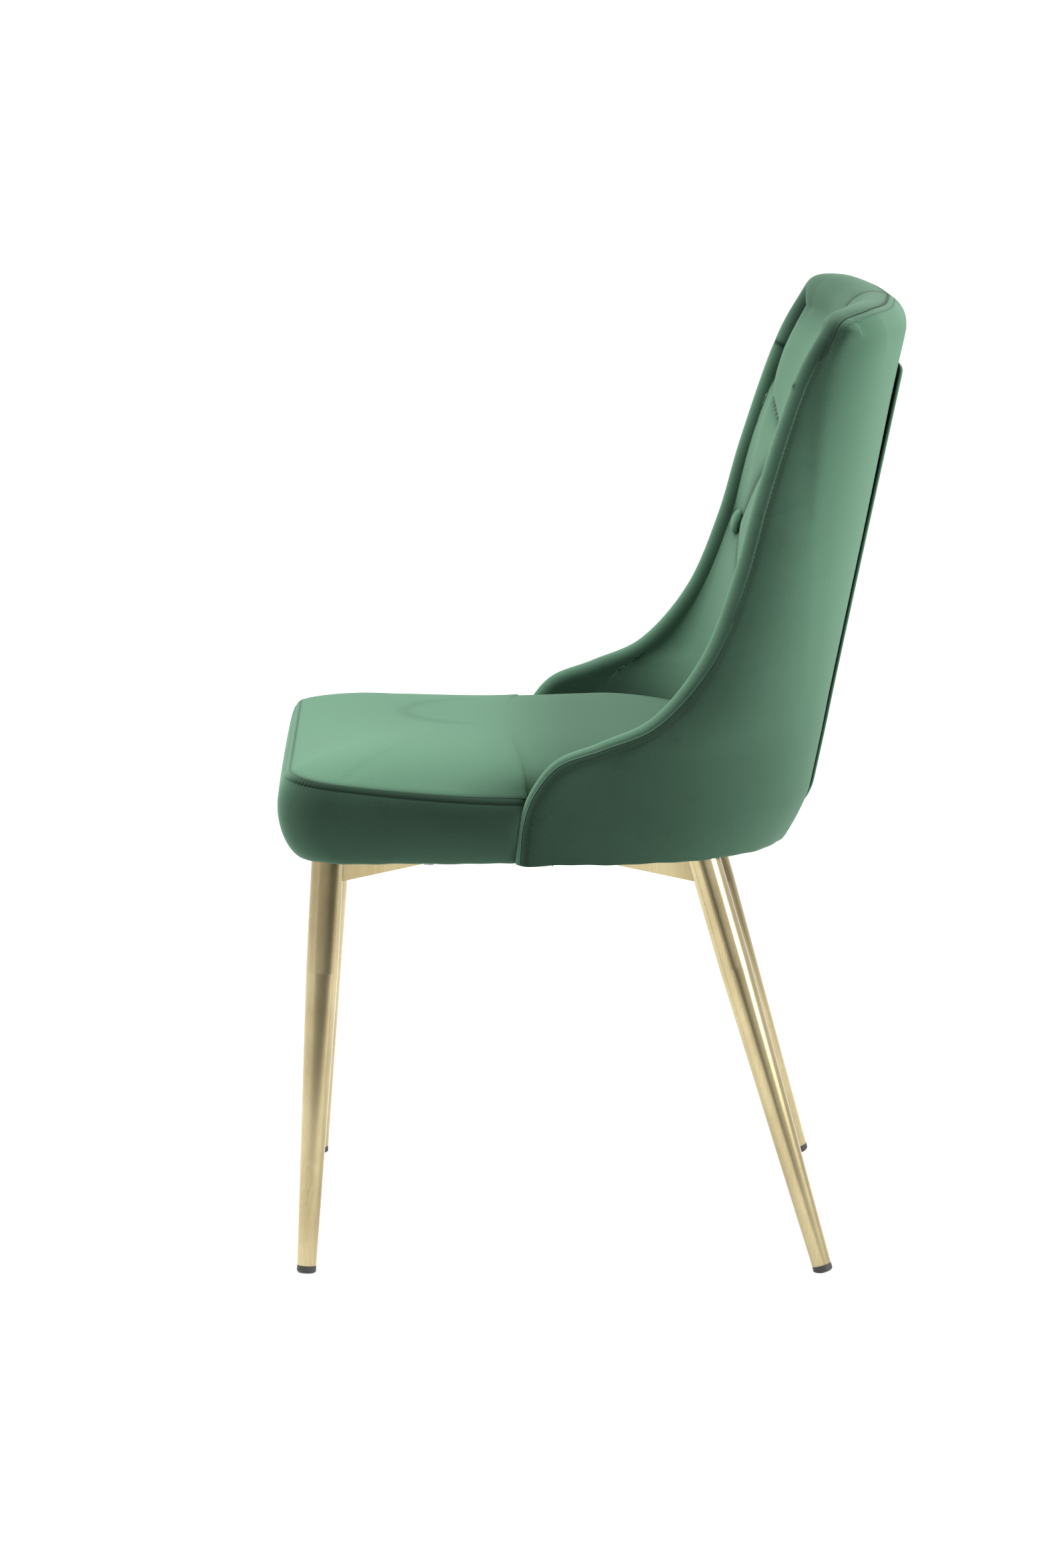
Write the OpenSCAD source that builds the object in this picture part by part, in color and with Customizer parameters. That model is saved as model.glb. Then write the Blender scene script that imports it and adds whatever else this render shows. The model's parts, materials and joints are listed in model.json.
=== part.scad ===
// Upholstered dining chair with a wrap-around back, a padded seat and four tapered tube legs.
// The chair faces -Y, its left side is +X and the floor is Z = 0.

/* [Under-frame] */
// Height of the top of the leg frame above the floor
frame_top = 411; // [380:1:450]
// Distance of the legs' tops in from the side seams of the seat
leg_side_inset = 38; // [30:0.5:60]
// How far the feet stand out sideways from their legs' tops
leg_side_splay = 43.5; // [20:0.5:48]
// Distance of the front legs' tops behind the front seam of the seat
leg_front_inset = 36.5; // [30:0.5:70]
// How far the front feet stand ahead of their legs' tops
leg_front_splay = 22.5; // [0:0.5:32]
// Distance of the rear legs' tops ahead of the rear face
leg_rear_inset = 117; // [92:1:146]
// How far the rear feet stand behind their legs' tops
leg_rear_splay = 120; // [80:1:130]
// Diameter of the upper, straight part of a leg
leg_d = 32; // [25:0.5:38]
// Diameter of a leg at its foot
leg_foot_d = 19.4; // [16:0.2:24]
// Length of the straight part of a leg, from its top
leg_straight = 115; // [60:1:200]
// Wall of the leg tube
leg_wall = 1.5; // [1:0.1:2.5]
// Side of the square tube of the cross
bar_w = 25; // [20:1:30]
// Wall of the square tube
bar_wall = 1.5; // [1:0.1:2.5]
// Visible height of a foot cap
cap_h = 7.5; // [5:0.5:12]
// Length of the plug that holds a cap in its leg
plug_l = 22; // [12:1:35]
// Chamfer round the bottom of a cap
cap_chamfer = 1.6; // [0.5:0.1:3]
// Distance of the frame bolts from the middle of the cross
bolt_reach = 128; // [90:1:160]
// Thread diameter of the frame bolts
bolt_d = 6; // [5:1:8]
// Width of the hexagon head of a frame bolt, across its corners
bolt_head_d = 11.5; // [9:0.5:15]
// Height of a bolt head
bolt_head_h = 4; // [3:0.5:6]
// Outer diameter of a frame washer
washer_d = 16; // [13:0.5:20]
// Thickness of a frame washer
washer_h = 1.2; // [0.8:0.1:2]

/* [Seat] */
// Width of the seat at its top seam
seat_w = 470; // [440:1:490]
// Front seam of the seat, ahead of the origin
seat_front = 300; // [270:1:310]
// Height of the seat's side seam over the frame's top, where it meets the wings
side_seam_rise = 64; // [54:1:76]
// Rise of the front seam over the side seam
front_seam_rise = 20; // [10:1:32]
// Height of the crown of the seat over its side seam
crown_rise = 38; // [34:1:52]
// Height of the seat's edge inside the wings over its side seam
tub_edge_rise = 22; // [15:1:28]
// Radius of the front corners in plan
seat_corner = 46; // [30:1:80]
// How far the front boxing bulges beyond its seam
front_bulge = 15; // [6:0.5:22]
// How much further the boxing bulges at the middle of the front than at its corners
front_bow = 1.5; // [0:0.5:8]
// How far the side boxing bulges beyond its seam
side_bulge = 9; // [3:1:12]
// How far the foot of the front stands back from its seam
front_undercut = 9; // [4:1:14]
// Thickness of the plywood base
board_t = 12; // [9:0.5:18]
// Thickness of the under-seat lining
lining_t = 0.6; // [0.4:0.1:1.5]
// Width of the boxing's hem, turned under the base
hem_w = 30; // [18:1:40]

/* [Back] */
// Outer width of the shell at the arms
shell_w = 498; // [480:1:520]
// Outer width of the shell at its top
top_w = 384; // [340:1:420]
// Height of the shell, from the frame's top to its crest
shell_h = 536; // [480:1:600]
// Front ends of the wings, ahead of the origin
wing_front = 79; // [50:1:100]
// How far the roll of the crest stays ahead of the back's rear face
crest_set = 0.5; // [0:0.5:6]
// Half the thickness of the padded wings
wing_r = 12; // [11:0.5:14]
// Half the thickness of the top roll at its middle
roll_r = 32; // [22:1:34]
// Rear face, behind the origin, at the height of the seat's side seam
rear_y = 222; // [211:1:229]
// Rake of the rear face, backward millimetres for each millimetre of height
rear_rake = 0.21; // [0.15:0.005:0.22]
// Height over which the rear face tucks in at its foot
tuck_h = 46; // [20:1:50]
// How far the foot of the rear face tucks in
tuck_d = 12; // [4:1:14]
// Thickness of the bent plywood shell
shell_board_t = 9; // [6:0.5:9.5]
// Thickness of the wadding outside the plywood shell
wadding_t = 2.7; // [2:0.1:3.5]
// Greatest distance of the inner-to-outer cover seam from the rim, half way up a wing
rim_seam = 15; // [13.5:0.5:22]
// Width of the outer cover's hem, turned under the base
shell_hem = 18; // [10:1:20]
// Width of the rear panel at its foot
panel_foot_w = 100; // [90:1:160]
// Width of the rear panel at its top
panel_top_w = 110; // [90:1:160]
// Height of the bottom edge of the rear panel over the frame's top
panel_rise = 23; // [19:1:60]
// Distance of the top edge of the rear panel below the crest
panel_drop = 79; // [72:1:150]
// Thickness of the rear panel's hardboard
panel_t = 1.5; // [1.2:0.1:3]
// Corner radius of the rear panel
panel_corner = 30; // [10:1:40]

/* [Tufting] */
// Diameter of a covered button
button_d = 26; // [20:0.5:30]
// Height of a button's dome
button_h = 7; // [5:0.5:9]
// Distance of the upper button below the crest
button_high_drop = 160; // [148:1:175]
// Distance of the side buttons below the crest
button_side_drop = 259; // [248:1:272]
// Distance of the lower button below the crest
button_low_drop = 349; // [338:1:356]
// Half the distance between the side buttons
button_side_x = 163; // [150:1:170]
// Diameter of the cord that ties a button down
tie_d = 2.4; // [1.5:0.1:3]

/* [Covers and gaps] */
// Thickness of the velvet with its backing
velvet_t = 1.2; // [0.8:0.1:1.5]
// Gap between soft pieces and what carries them
soft_gap = 0.3; // [0.2:0.05:0.5]
// Gap between a cover and the foam or wadding below it
cover_gap = 0.45; // [0.3:0.05:0.6]
// Gap between the seat and the inner faces of the wings
tub_gap = 0.8; // [0.5:0.1:1.5]
// Gap between welded or bolted metal pieces
metal_gap = 0.05; // [0.02:0.01:0.1]

/* [Hidden] */
$fn = 64;
gold = "#c8b27a";
velvet = "#3f6b50";
far = 2000;               // reach of the blocks that trim the legs and feet
cut = 1;                  // how far a cutter runs past the face it opens

// Heights of the stack on the frame
lining_z = frame_top + soft_gap;
hem_z = lining_z + lining_t + soft_gap;
board_z = hem_z + velvet_t + soft_gap;
board_top = board_z + board_t;
foam_z = board_top + soft_gap;
side_seam_z = frame_top + side_seam_rise;
crown_z = side_seam_z + crown_rise;
tub_rim_z = side_seam_z + tub_edge_rise;
crest_z = frame_top + shell_h;
upright_share = 0.925;    // share of the shell's height where its rear face turns upright
upright_z = frame_top + upright_share * shell_h;
crest_y = rear_y + rear_rake * (upright_z - side_seam_z) - roll_r - crest_set;

// ---- lists and vectors ----
function unit(v) = v / norm(v);
function mix(a, b, t) = a + (b - a) * t;
function clamp(t) = min(1, max(0, t));
function ease(t) = let (c = clamp(t)) c * c * (3 - 2 * c);
function power(v, n) = v <= 0 ? 0 : pow(v, n);
function spline(k, t) = let (
    n = len(k) - 1, i = min(n - 1, max(0, floor(t))), u = t - i,
    b = k[i], c = k[i + 1],
    a = i > 0 ? k[i - 1] : 2 * b - c, d = i < n - 1 ? k[i + 2] : 2 * c - b
  ) 0.5 * (2 * b + (c - a) * u + (2 * a - 5 * b + 4 * c - d) * u * u + (3 * b - a - 3 * c + d) * u * u * u);

function middle(points) = [for (p = points) 1] * points / len(points);

// Closed solid between two equal grids; row i of each grid is one strip of points.
// ring: the rows close on themselves. cap: the last column closes over its middle.
module slab(outer, inner, ring = false, cap = false) {
  ni = len(outer);
  nj = len(outer[0]);
  hub = 2 * ni * nj;
  last = ring ? ni - 1 : ni - 2;
  function a(i, j) = (i % ni) * nj + j;
  function b(i, j) = ni * nj + (i % ni) * nj + j;
  faces = [
    for (i = [0:last], j = [0:nj - 2]) each [
      [a(i, j), a(i, j + 1), a(i + 1, j + 1)], [a(i, j), a(i + 1, j + 1), a(i + 1, j)],
      [b(i, j), b(i + 1, j + 1), b(i, j + 1)], [b(i, j), b(i + 1, j), b(i + 1, j + 1)]],
    for (i = [0:last]) each [
      [a(i, 0), a(i + 1, 0), b(i + 1, 0)], [a(i, 0), b(i + 1, 0), b(i, 0)]],
    if (!cap) for (i = [0:last]) each [
      [a(i + 1, nj - 1), a(i, nj - 1), b(i, nj - 1)],
      [a(i + 1, nj - 1), b(i, nj - 1), b(i + 1, nj - 1)]],
    if (cap) for (i = [0:last]) each [
      [a(i, nj - 1), hub, a(i + 1, nj - 1)], [b(i, nj - 1), b(i + 1, nj - 1), hub + 1]],
    if (!ring) for (j = [0:nj - 2]) each [
      [a(0, j + 1), a(0, j), b(0, j)], [a(0, j + 1), b(0, j), b(0, j + 1)],
      [a(ni - 1, j), a(ni - 1, j + 1), b(ni - 1, j + 1)], [a(ni - 1, j), b(ni - 1, j + 1), b(ni - 1, j)]]
  ];
  polyhedron([for (r = outer) each r, for (r = inner) each r,
              if (cap) for (g = [outer, inner]) middle([for (r = g) r[nj - 1]])], faces);
}

// Closed solid through a stack of equal rings, capped at both ends
module ring_stack(rings) {
  n = len(rings[0]);
  m = len(rings);
  polyhedron(
    [for (r = rings) each r, middle(rings[m - 1])],
    [[for (i = [n - 1:-1:0]) i],
     for (i = [0:n - 1]) [(m - 1) * n + i, (m - 1) * n + (i + 1) % n, m * n],
     for (k = [0:m - 2], i = [0:n - 1]) let (p = (i + 1) % n) each [
       [k * n + i, k * n + p, (k + 1) * n + p], [k * n + i, (k + 1) * n + p, (k + 1) * n + i]]]);
}

// ---- rim of the back: from the front foot of the left wing over the crest ----
// Shares of the half width, of the run from wing_front to crest_y, of the shell's height
// and of the seam's distance from the rim
rim_keys = [
  [1, 0, 0, 0.2], [1, 0.011, 0.075, 0.2], [1, 0.042, 0.135, 0.22], [0.998, 0.111, 0.191, 0.27],
  [0.992, 0.233, 0.224, 0.36], [0.977, 0.376, 0.27, 0.5], [0.928, 0.506, 0.378, 0.7],
  [0.86, 0.591, 0.521, 0.9], [0.812, 0.652, 0.669, 1], [0.768, 0.744, 0.856, 0.98],
  [0.758, 0.819, 0.953, 0.7], [0.726, 0.858, 0.989, 0.35], [0.586, 0.925, 0.999, 0.2],
  [0.33, 0.975, 0.997, 0.2], [0, 1, 0.996, 0.2]
];
rim_end = len(rim_keys) - 1;      // key of the middle of the crest
rim_corner = 9.5;                 // key where the top corner starts
arm_half = shell_w / 2 - wing_r;
top_half = top_w / 2 - wing_r;
top_share = rim_keys[rim_end - 4][0];
function rim(e) = let (
    k = spline(rim_keys, e),
    narrow = (1 - k[0]) / (1 - top_share),
    half = e < rim_corner ? mix(arm_half, top_half, narrow) : top_half * k[0] / top_share
  ) [half, mix(-wing_front, crest_y, k[1]), mix(hem_z, crest_z, k[2])];
function rim_r(e) = mix(wing_r, roll_r, ease((e - rim_corner) / (rim_end - 2 - rim_corner)));

// Tables of the outer half width and of the wing's front edge against height
table_step = 0.25;
width_table = [for (e = [0:table_step:rim_corner]) [rim(e)[2], rim(e)[0] + wing_r]];
front_table = [for (e = [0:table_step:rim_corner + 1]) [rim(e)[2], rim(e)[1]]];
function half_at(z) = lookup(z, width_table);
function front_at(z) = lookup(z, front_table);

// Rear profile: raked, tucked in at its foot and upright at its top
tuck_power = 1.5;
function rear_at(z) = rear_y + rear_rake * (min(z, upright_z) - side_seam_z)
  - tuck_d * power((frame_top + tuck_h - z) / tuck_h, tuck_power);

// Quarter of a rounded outline: half width a, depth b behind y0, sharpness p.
// turn runs from 0 at the side to 90 at the middle. Gives the point and its outward direction.
function quarter(turn, z, a, y0, b, p) = let (
    x = a * power(cos(turn), 2 / p), y = b * power(sin(turn), 2 / p)
  ) [[x, y0 + y, z], unit([power(x / a, p - 1) / a, power(y / b, p - 1) / b, 0])];

// Outer face of the shell at height z: rounder where it is shallow, squarer where it is deep
round_share = 0.17;       // shares of the shell's width
square_share = 0.38;
function outer_power(b) = 2 + max(0, b / shell_w - round_share) / square_share;
function outer_at(turn, z) = let (y0 = front_at(z) + wing_r, b = rear_at(z) - y0)
  quarter(turn, z, half_at(z), y0, b, outer_power(b));

// Inner face of the back on its centre line: shares of the shell's height and of the run
inner_keys = [
  [0, 0.55], [0.04, 0.556], [0.195, 0.577], [0.355, 0.616], [0.52, 0.666],
  [0.702, 0.733], [0.857, 0.824], [0.962, 0.906], [1, 0.93]
];
inner_table = [for (t = [0:table_step:len(inner_keys) - 1]) let (k = spline(inner_keys, t))
  [frame_top + shell_h * k[0], mix(-wing_front, crest_y, k[1])]];
inner_share = 0.3;        // depth, as a share of the shell's width, at which the inner face is squarest
function inner_at(turn, z) =
  let (y0 = front_at(z) + wing_r, b = max(wing_r / 3, lookup(z, inner_table) - y0))
  quarter(turn, z, half_at(z) - 2 * wing_r, y0, b, 2 + clamp(b / shell_w / inner_share));
function turn_at(x, a) = acos(clamp(x / a));

// Frame of the rim at e: along it, out of the shell, and down into it
rim_delta = 0.02;
function rim_frame(e) = let (
    t = unit(e > rim_end - rim_delta ? [-1, 0, 0] : rim(e + rim_delta) - rim(max(0, e - rim_delta))),
    turn = e < rim_corner ? 0 : turn_at(rim(e)[0], top_half),
    n0 = [cos(turn), sin(turn), 0], n = unit(n0 - (n0 * t) * t)
  ) [t, n, cross(t, n)];

// Point round the rim: angle 0 is the outer face, 90 the crest and 180 the inner face
function rim_point(e, angle, inset) = let (f = rim_frame(e), r = rim_r(e), m = rim(e) + r * f[2])
  m + (r - inset) * (cos(angle) * f[1] - sin(angle) * f[2]);

// Ribs run down from the rim: share 0 is the rim's end, 1 the rib's foot at that height.
// face is 1 inside and -1 outside; inset is the depth below that face.
fade = 0.45;              // share of a rib over which it leaves the rim and joins its face
first_rib = 0.5;
function face_at(face, turn, z) = face > 0 ? inner_at(turn, z) : outer_at(turn, z);
function half_width(face, z) = half_at(z) - (face > 0 ? 2 * wing_r : 0);
function rib(face, e, share, inset, foot) = let (
    top = rim_point(e, face > 0 ? 180 : 0, 0),
    first = e < rim_corner ? 0 : turn_at(top[0], half_width(face, top[2])),
    turn = mix(first, 90 * max(e, first_rib / 2) / rim_end, share), z = mix(top[2], foot, share),
    here = face_at(face, turn, z), lead = face_at(face, first, top[2])[0],
    hold = 1 - ease(share / fade), n = unit(mix(here[1], rim_frame(e)[1], hold))
  ) here[0] + (top - lead) * hold + n * inset * face;

// Rows of the outer face, from the covers' seam to the base board and on to the hem
rows = 8;
short_run = 20;           // the shortest run that a rib counts as
function run(e) = max(short_run, rim_point(e, 0, 0)[2] - hem_z);
function seam_at(e) = rim_seam * spline(rim_keys, e)[3];
function seam_angle(e, seam) = asin(clamp(1 - seam / rim_r(e)));
function seam_share(e, seam) = clamp((seam - rim_r(e)) / run(e));
wing_foot_share = 0.9;    // for the ribs that end below the top of the base board
function board_share(e) = let (top = rim_point(e, 0, 0)[2])
  top > foam_z ? (top - foam_z) / (top - hem_z) : wing_foot_share;
function row(e, k) = mix(seam_share(e, rim_seam), board_share(e), k / rows);

// Both halves of the back: ribs from the left wing's foot over the crest to the right one's
rib_step = 0.5;
ribs = [for (e = [first_rib:rib_step:rim_end]) e];
cover_ribs = concat([0], ribs);
function flip(p) = [-p[0], p[1], p[2]];
function both(half) = concat(half, [for (i = [len(half) - 2:-1:0]) [for (p = half[i]) flip(p)]]);
function steps(n) = [for (k = [0:n]) k / n];

// Depths of the layers below the outer face
wadding_in = velvet_t + cover_gap;
shell_in = wadding_in + wadding_t + soft_gap;
shell_mid = shell_in + shell_board_t / 2;
foam_in = shell_in + shell_board_t + soft_gap;
edge_clear = 5.5;         // foam over the edge of the plywood shell

function layer_rib(e, inset) = [for (k = [0:rows]) rib(-1, e, row(e, k), inset, hem_z)];
module layer(inset, t)
  slab(both([for (e = ribs) layer_rib(e, inset)]), both([for (e = ribs) layer_rib(e, inset + t)]));

// ---- tufting ----
function on_inner(x, z) = inner_at(turn_at(x, half_at(z) - 2 * wing_r), z)[0];
probe = button_d / 5;     // half the distance over which the inner face's direction is taken
function inner_normal(x, z) = unit(cross(on_inner(x + probe, z) - on_inner(max(0, x - probe), z),
                                         on_inner(x, z + probe) - on_inner(x, z - probe)));
tufts = [[0, crest_z - button_high_drop], [button_side_x, crest_z - button_side_drop],
         [-button_side_x, crest_z - button_side_drop], [0, crest_z - button_low_drop]];
function tuft_point(t) = let (p = on_inner(abs(t[0]), t[1])) [sign(t[0]) * p[0], p[1], p[2]];
function tuft_normal(t) = let (n = inner_normal(abs(t[0]), t[1]))
  t[0] == 0 ? unit([0, n[1], n[2]]) : [sign(t[0]) * n[0], n[1], n[2]];
function rear_y_at(x, z) = let (a = half_at(z), o = outer_at(turn_at(abs(x), a), z)[0]) o[1];
button_lift = 1;          // keeps the flat back of a button clear of the curved cover
tie_room = 1.2;           // how much wider than a tie its holes are
module button(t) color(velvet) translate(tuft_point(t))
  rotate([0, acos(tuft_normal(t)[2]), atan2(tuft_normal(t)[1], tuft_normal(t)[0])])
  translate([0, 0, button_lift]) button_form();
module button_form() {
  edge = 1.5;
  dome = button_h - edge;
  r = (button_d * button_d / 4 + dome * dome) / (2 * dome);
  intersection() {
    translate([0, 0, button_h - r]) sphere(r = r);
    cylinder(d = button_d, h = button_h + cut);
  }
}
bore_lead = 30;           // how far ahead of the inner face the holes for the ties start
module tie_holes() for (t = tufts) let (p = tuft_point(t))
  translate([p[0], p[1] - bore_lead, p[2]]) rotate([-90, 0, 0])
    cylinder(d = tie_d + tie_room, h = rear_y_at(p[0], p[2]) - shell_in - p[1] + bore_lead + cut);

// ---- seat outline ----
seat_half = seat_w / 2;
foot_front = seat_front - front_undercut;
corner_steps = 7;
side_steps = 4;
tub_steps = 9;
seam_power = 1.6;         // how late the side seam turns up towards the front
function seam_z(y) = side_seam_z
  + front_seam_rise * pow(clamp((-y - wing_front) / (seat_front - wing_front)), seam_power);
// Outline of the seat from the front middle to the wing: swell pushes it out, inset pulls it in
function front_outline(front, half, y_end) = let (r = seat_corner) concat(
  [[0, -front], [(half - r) / 2, -front]],
  [for (k = [0:corner_steps]) let (a = -90 + 90 * k / corner_steps)
    [half - r + r * cos(a), -front + r + r * sin(a)]],
  [for (k = [1:side_steps]) [half, mix(-front + r, y_end, k / side_steps)]]);
function tub_outline(z, inset) = [for (k = [0:tub_steps]) let (q = inner_at(90 * k / tub_steps, z))
  [q[0][0] - q[1][0] * inset, q[0][1] - q[1][1] * inset]];
function wing_end(z) = front_at(z) - tub_gap;
swell_power = 0.7;        // fullness of the boxing: smaller is fuller
function half_ring(v, inset) = let (
    z = mix(hem_z, side_seam_z, v), y_end = wing_end(z) + inset / 4,
    swell = power(4 * clamp(v) * (1 - clamp(v)), swell_power), low = (1 - v) * front_undercut,
    half = seat_half + side_bulge * swell - inset,
    front = [for (p = front_outline(seat_front + front_bulge * swell - low - inset, half, y_end))
      [p[0], p[1] - front_bow * swell * (1 - pow(p[0] / half, 2))]],
    tub = tub_outline(z, tub_gap + inset)
  ) concat(front, [[tub[0][0], y_end]], tub);
function mirror_ring(h) = concat(h, [for (i = [len(h) - 2:-1:1]) [-h[i][0], h[i][1]]]);
seat_mid = [0, -0.32 * seat_front];
crown_power = 4;          // how far the crown stays level before it rounds down to the seam
function crown(p, edge_z, share) = let (q = [for (k = [0, 1]) mix(seat_mid[k], p[k], share)])
  [q[0], q[1], mix(crown_z, edge_z, pow(share, crown_power))];
seam_ring = mirror_ring(half_ring(1, 0));
tub_rise = 0.15 * seat_w; // length over which the seat's edge rises inside the wings
// Height of the seat's top edge at a point of its outline
function edge_z(p) = mix(seam_z(p[1]), tub_rim_z, ease((p[1] - wing_end(side_seam_z)) / tub_rise));
edge = [for (p = seam_ring) edge_z(p)];
function side_point(i, z, inset) = let (p = half_ring((z - hem_z) / (edge[i] - hem_z), inset)[i])
  [p[0], p[1], z];
crown_shares = [1, 0.97, 0.92, 0.83, 0.7, 0.5, 0.3, 0.1];

// Seat foam: rings up its sides, then in over the crown
foam_inset = velvet_t + cover_gap;
foam_levels = [0, 0.12, 0.3, 0.5, 0.7, 0.88];
half_count = len(half_ring(1, 0));
function mirror_loop(h) = concat(h, [for (i = [len(h) - 2:-1:1]) flip(h[i])]);
function foam_ring(level) = mirror_loop([for (i = [0:half_count - 1])
  side_point(i, mix(foam_z, edge[i] - foam_inset, level), foam_inset)]);
foam_rim = mirror_loop([for (i = [0:half_count - 1]) side_point(i, edge[i], foam_inset)]);
function foam_top(share) = [for (p = foam_rim) crown(p, p[2], share) - [0, 0, foam_inset]];

// ---- under-frame ----
bar_z = frame_top - bar_w;
leg_top_x = seat_half - leg_side_inset;
leg_foot_x = leg_top_x + leg_side_splay;
front_leg_top = seat_front - leg_front_inset;
rear_leg_top = rear_y - leg_rear_inset;
function leg_axis(top, foot, z) = [for (k = [0, 1]) mix(foot[k], top[k], z / frame_top)];
front_left = [[leg_top_x, -front_leg_top], [leg_foot_x, -front_leg_top - leg_front_splay]];
rear_left = [[leg_top_x, rear_leg_top], [leg_foot_x, rear_leg_top + leg_rear_splay]];
function other_side(l) = [for (p = l) [-p[0], p[1]]];
function joint_of(l) = leg_axis(l[0], l[1], frame_top - bar_w / 2);
cross_mid = let (a = joint_of(front_left), b = joint_of(rear_left)) [0, (a[1] + b[1]) / 2];

seam_turn = 90;           // turns each tube's seam away from its oblique cuts
// Places its children on the leg's axis, with Z up the leg from the foot
module on_leg(l) {
  run = [l[0][0] - l[1][0], l[0][1] - l[1][1], frame_top];
  translate([l[1][0], l[1][1], 0]) rotate([0, acos(run[2] / norm(run)), atan2(run[1], run[0])])
    rotate(seam_turn) children();
}
function leg_l(l) = norm([l[0][0] - l[1][0], l[0][1] - l[1][1], frame_top]);
module above(z) translate([-far / 2, -far / 2, z]) cube([far, far, far]);
module below(z) translate([-far / 2, -far / 2, z - far]) cube([far, far, far]);
module leg_form(l, shrink, low, over = 0) {
  straight = leg_l(l) - leg_straight;
  translate([0, 0, low])
    cylinder(h = straight - low, d1 = leg_foot_d - 2 * shrink, d2 = leg_d - 2 * shrink);
  translate([0, 0, straight]) cylinder(h = leg_straight + leg_d + over, d = leg_d - 2 * shrink);
}
module leg(l) color(gold) difference() {
  on_leg(l) leg_form(l, 0, cap_h);
  on_leg(l) translate([0, 0, -cut]) leg_form(l, leg_wall, cap_h, 2 * cut);
  above(frame_top);
}
module foot(l) color("#3a3a38") difference() {
  on_leg(l) union() {
    cylinder(h = cap_chamfer, d1 = leg_foot_d - 2 * cap_chamfer, d2 = leg_foot_d);
    translate([0, 0, cap_chamfer]) cylinder(h = cap_h - cap_chamfer - metal_gap, d = leg_foot_d);
    cylinder(h = cap_h + plug_l, d = leg_foot_d - 2 * leg_wall - 2 * metal_gap);
  }
  below(0);
}
module bar(from, to, grow = 0, wall = 0) {
  run = to - from;
  side = bar_w - 2 * wall + 2 * grow;
  translate([from[0], from[1], frame_top - bar_w / 2]) rotate([0, 0, atan2(run[1], run[0])])
    translate([0, -side / 2, -side / 2]) cube([norm(run), side, side]);
}
bolt_spots = [for (l = [front_left, other_side(front_left), rear_left, other_side(rear_left)])
  cross_mid + unit(joint_of(l) - cross_mid) * bolt_reach];
bolt_room = 0.5;          // how much wider than the bolts their holes are
module bolt_holes(room) for (p = bolt_spots)
  translate([p[0], p[1], bar_z - cut]) cylinder(d = bolt_d + room, h = bar_w + 2 * cut);
module tube(from, to, legs) difference() {
  bar(from, to);
  bar(from, to, 0, bar_wall);
  for (l = legs) on_leg(l) leg_form(l, -metal_gap, 0);
  bolt_holes(bolt_room);
}

// ---- base board ----
board_inset = velvet_t + soft_gap;
notch_turn = 2;           // where the base board passes behind the front end of a wing
base_rear = [for (k = [0:tub_steps]) let (q = outer_at(mix(notch_turn, 90, k / tub_steps), board_z))
  [q[0][0] - q[1][0] * board_inset, q[0][1] - q[1][1] * board_inset]];
notch_x = tub_outline(board_top, tub_gap)[0][0];
base_front = concat(
  front_outline(foot_front - board_inset, seat_half - board_inset, wing_end(board_z)),
  [[notch_x, wing_end(board_z)], [notch_x, base_rear[0][1]]]);
module base_plate(z, t, in) translate([0, 0, z]) linear_extrude(t)
  polygon(mirror_ring([for (p = concat(base_front, base_rear)) let (c = [p[0], p[1] - cross_mid[1]])
    [0, cross_mid[1]] + c * (1 - in / norm(c))]));
nut_flange_d = 18;        // flange of a frame nut
nut_flange_t = 1.5;
nut_barrel_d = 8;
nut_barrel_l = 9;
screw_turns = [5, 16, 27];
screw_d = 4;
screw_head_d = 8;
screw_grip = 14;          // how far a shell screw reaches into the plywood shell
screw_spots = [for (a = screw_turns, s = [-1, 1]) let (q = outer_at(a, board_top + screw_grip / 2))
  [s * (q[0][0] - q[1][0] * shell_mid), q[0][1] - q[1][1] * shell_mid]];
module screw_form(room) {
  cylinder(h = screw_head_d / 2, d1 = screw_head_d + room, d2 = room);
  cylinder(h = board_t + soft_gap + screw_grip + room, d = screw_d + room);
}
module screws(room) for (p = screw_spots) translate([p[0], p[1], board_z]) screw_form(room);

// ---- nodes: under-frame ----
module cross_bar() color(gold)
  tube(joint_of(front_left), joint_of(other_side(rear_left)), [front_left, other_side(rear_left)]);
module half_bar(l) color(gold) difference() {
  tube(joint_of(l), cross_mid, [l]);
  bar(joint_of(front_left), joint_of(other_side(rear_left)), metal_gap);
}
module half_bar_front_right() half_bar(other_side(front_left));
module half_bar_rear_left() half_bar(rear_left);
module leg_front_left() leg(front_left);
module leg_front_right() leg(other_side(front_left));
module leg_rear_left() leg(rear_left);
module leg_rear_right() leg(other_side(rear_left));
module foot_front_left() foot(front_left);
module foot_front_right() foot(other_side(front_left));
module foot_rear_left() foot(rear_left);
module foot_rear_right() foot(other_side(rear_left));
module frame_washers() color("silver") for (p = bolt_spots)
  translate([p[0], p[1], bar_z - metal_gap - washer_h]) difference() {
    cylinder(d = washer_d, h = washer_h);
    translate([0, 0, -cut]) cylinder(d = bolt_d + bolt_room, h = washer_h + 2 * cut);
  }
head_z = bar_z - 2 * metal_gap - washer_h;
module frame_bolts() color("silver") for (p = bolt_spots) translate([p[0], p[1], head_z]) {
  translate([0, 0, -bolt_head_h]) cylinder(d = bolt_head_d, h = bolt_head_h, $fn = 6);
  cylinder(d = bolt_d - 2 * metal_gap, h = board_top - head_z - cut);
}
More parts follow.
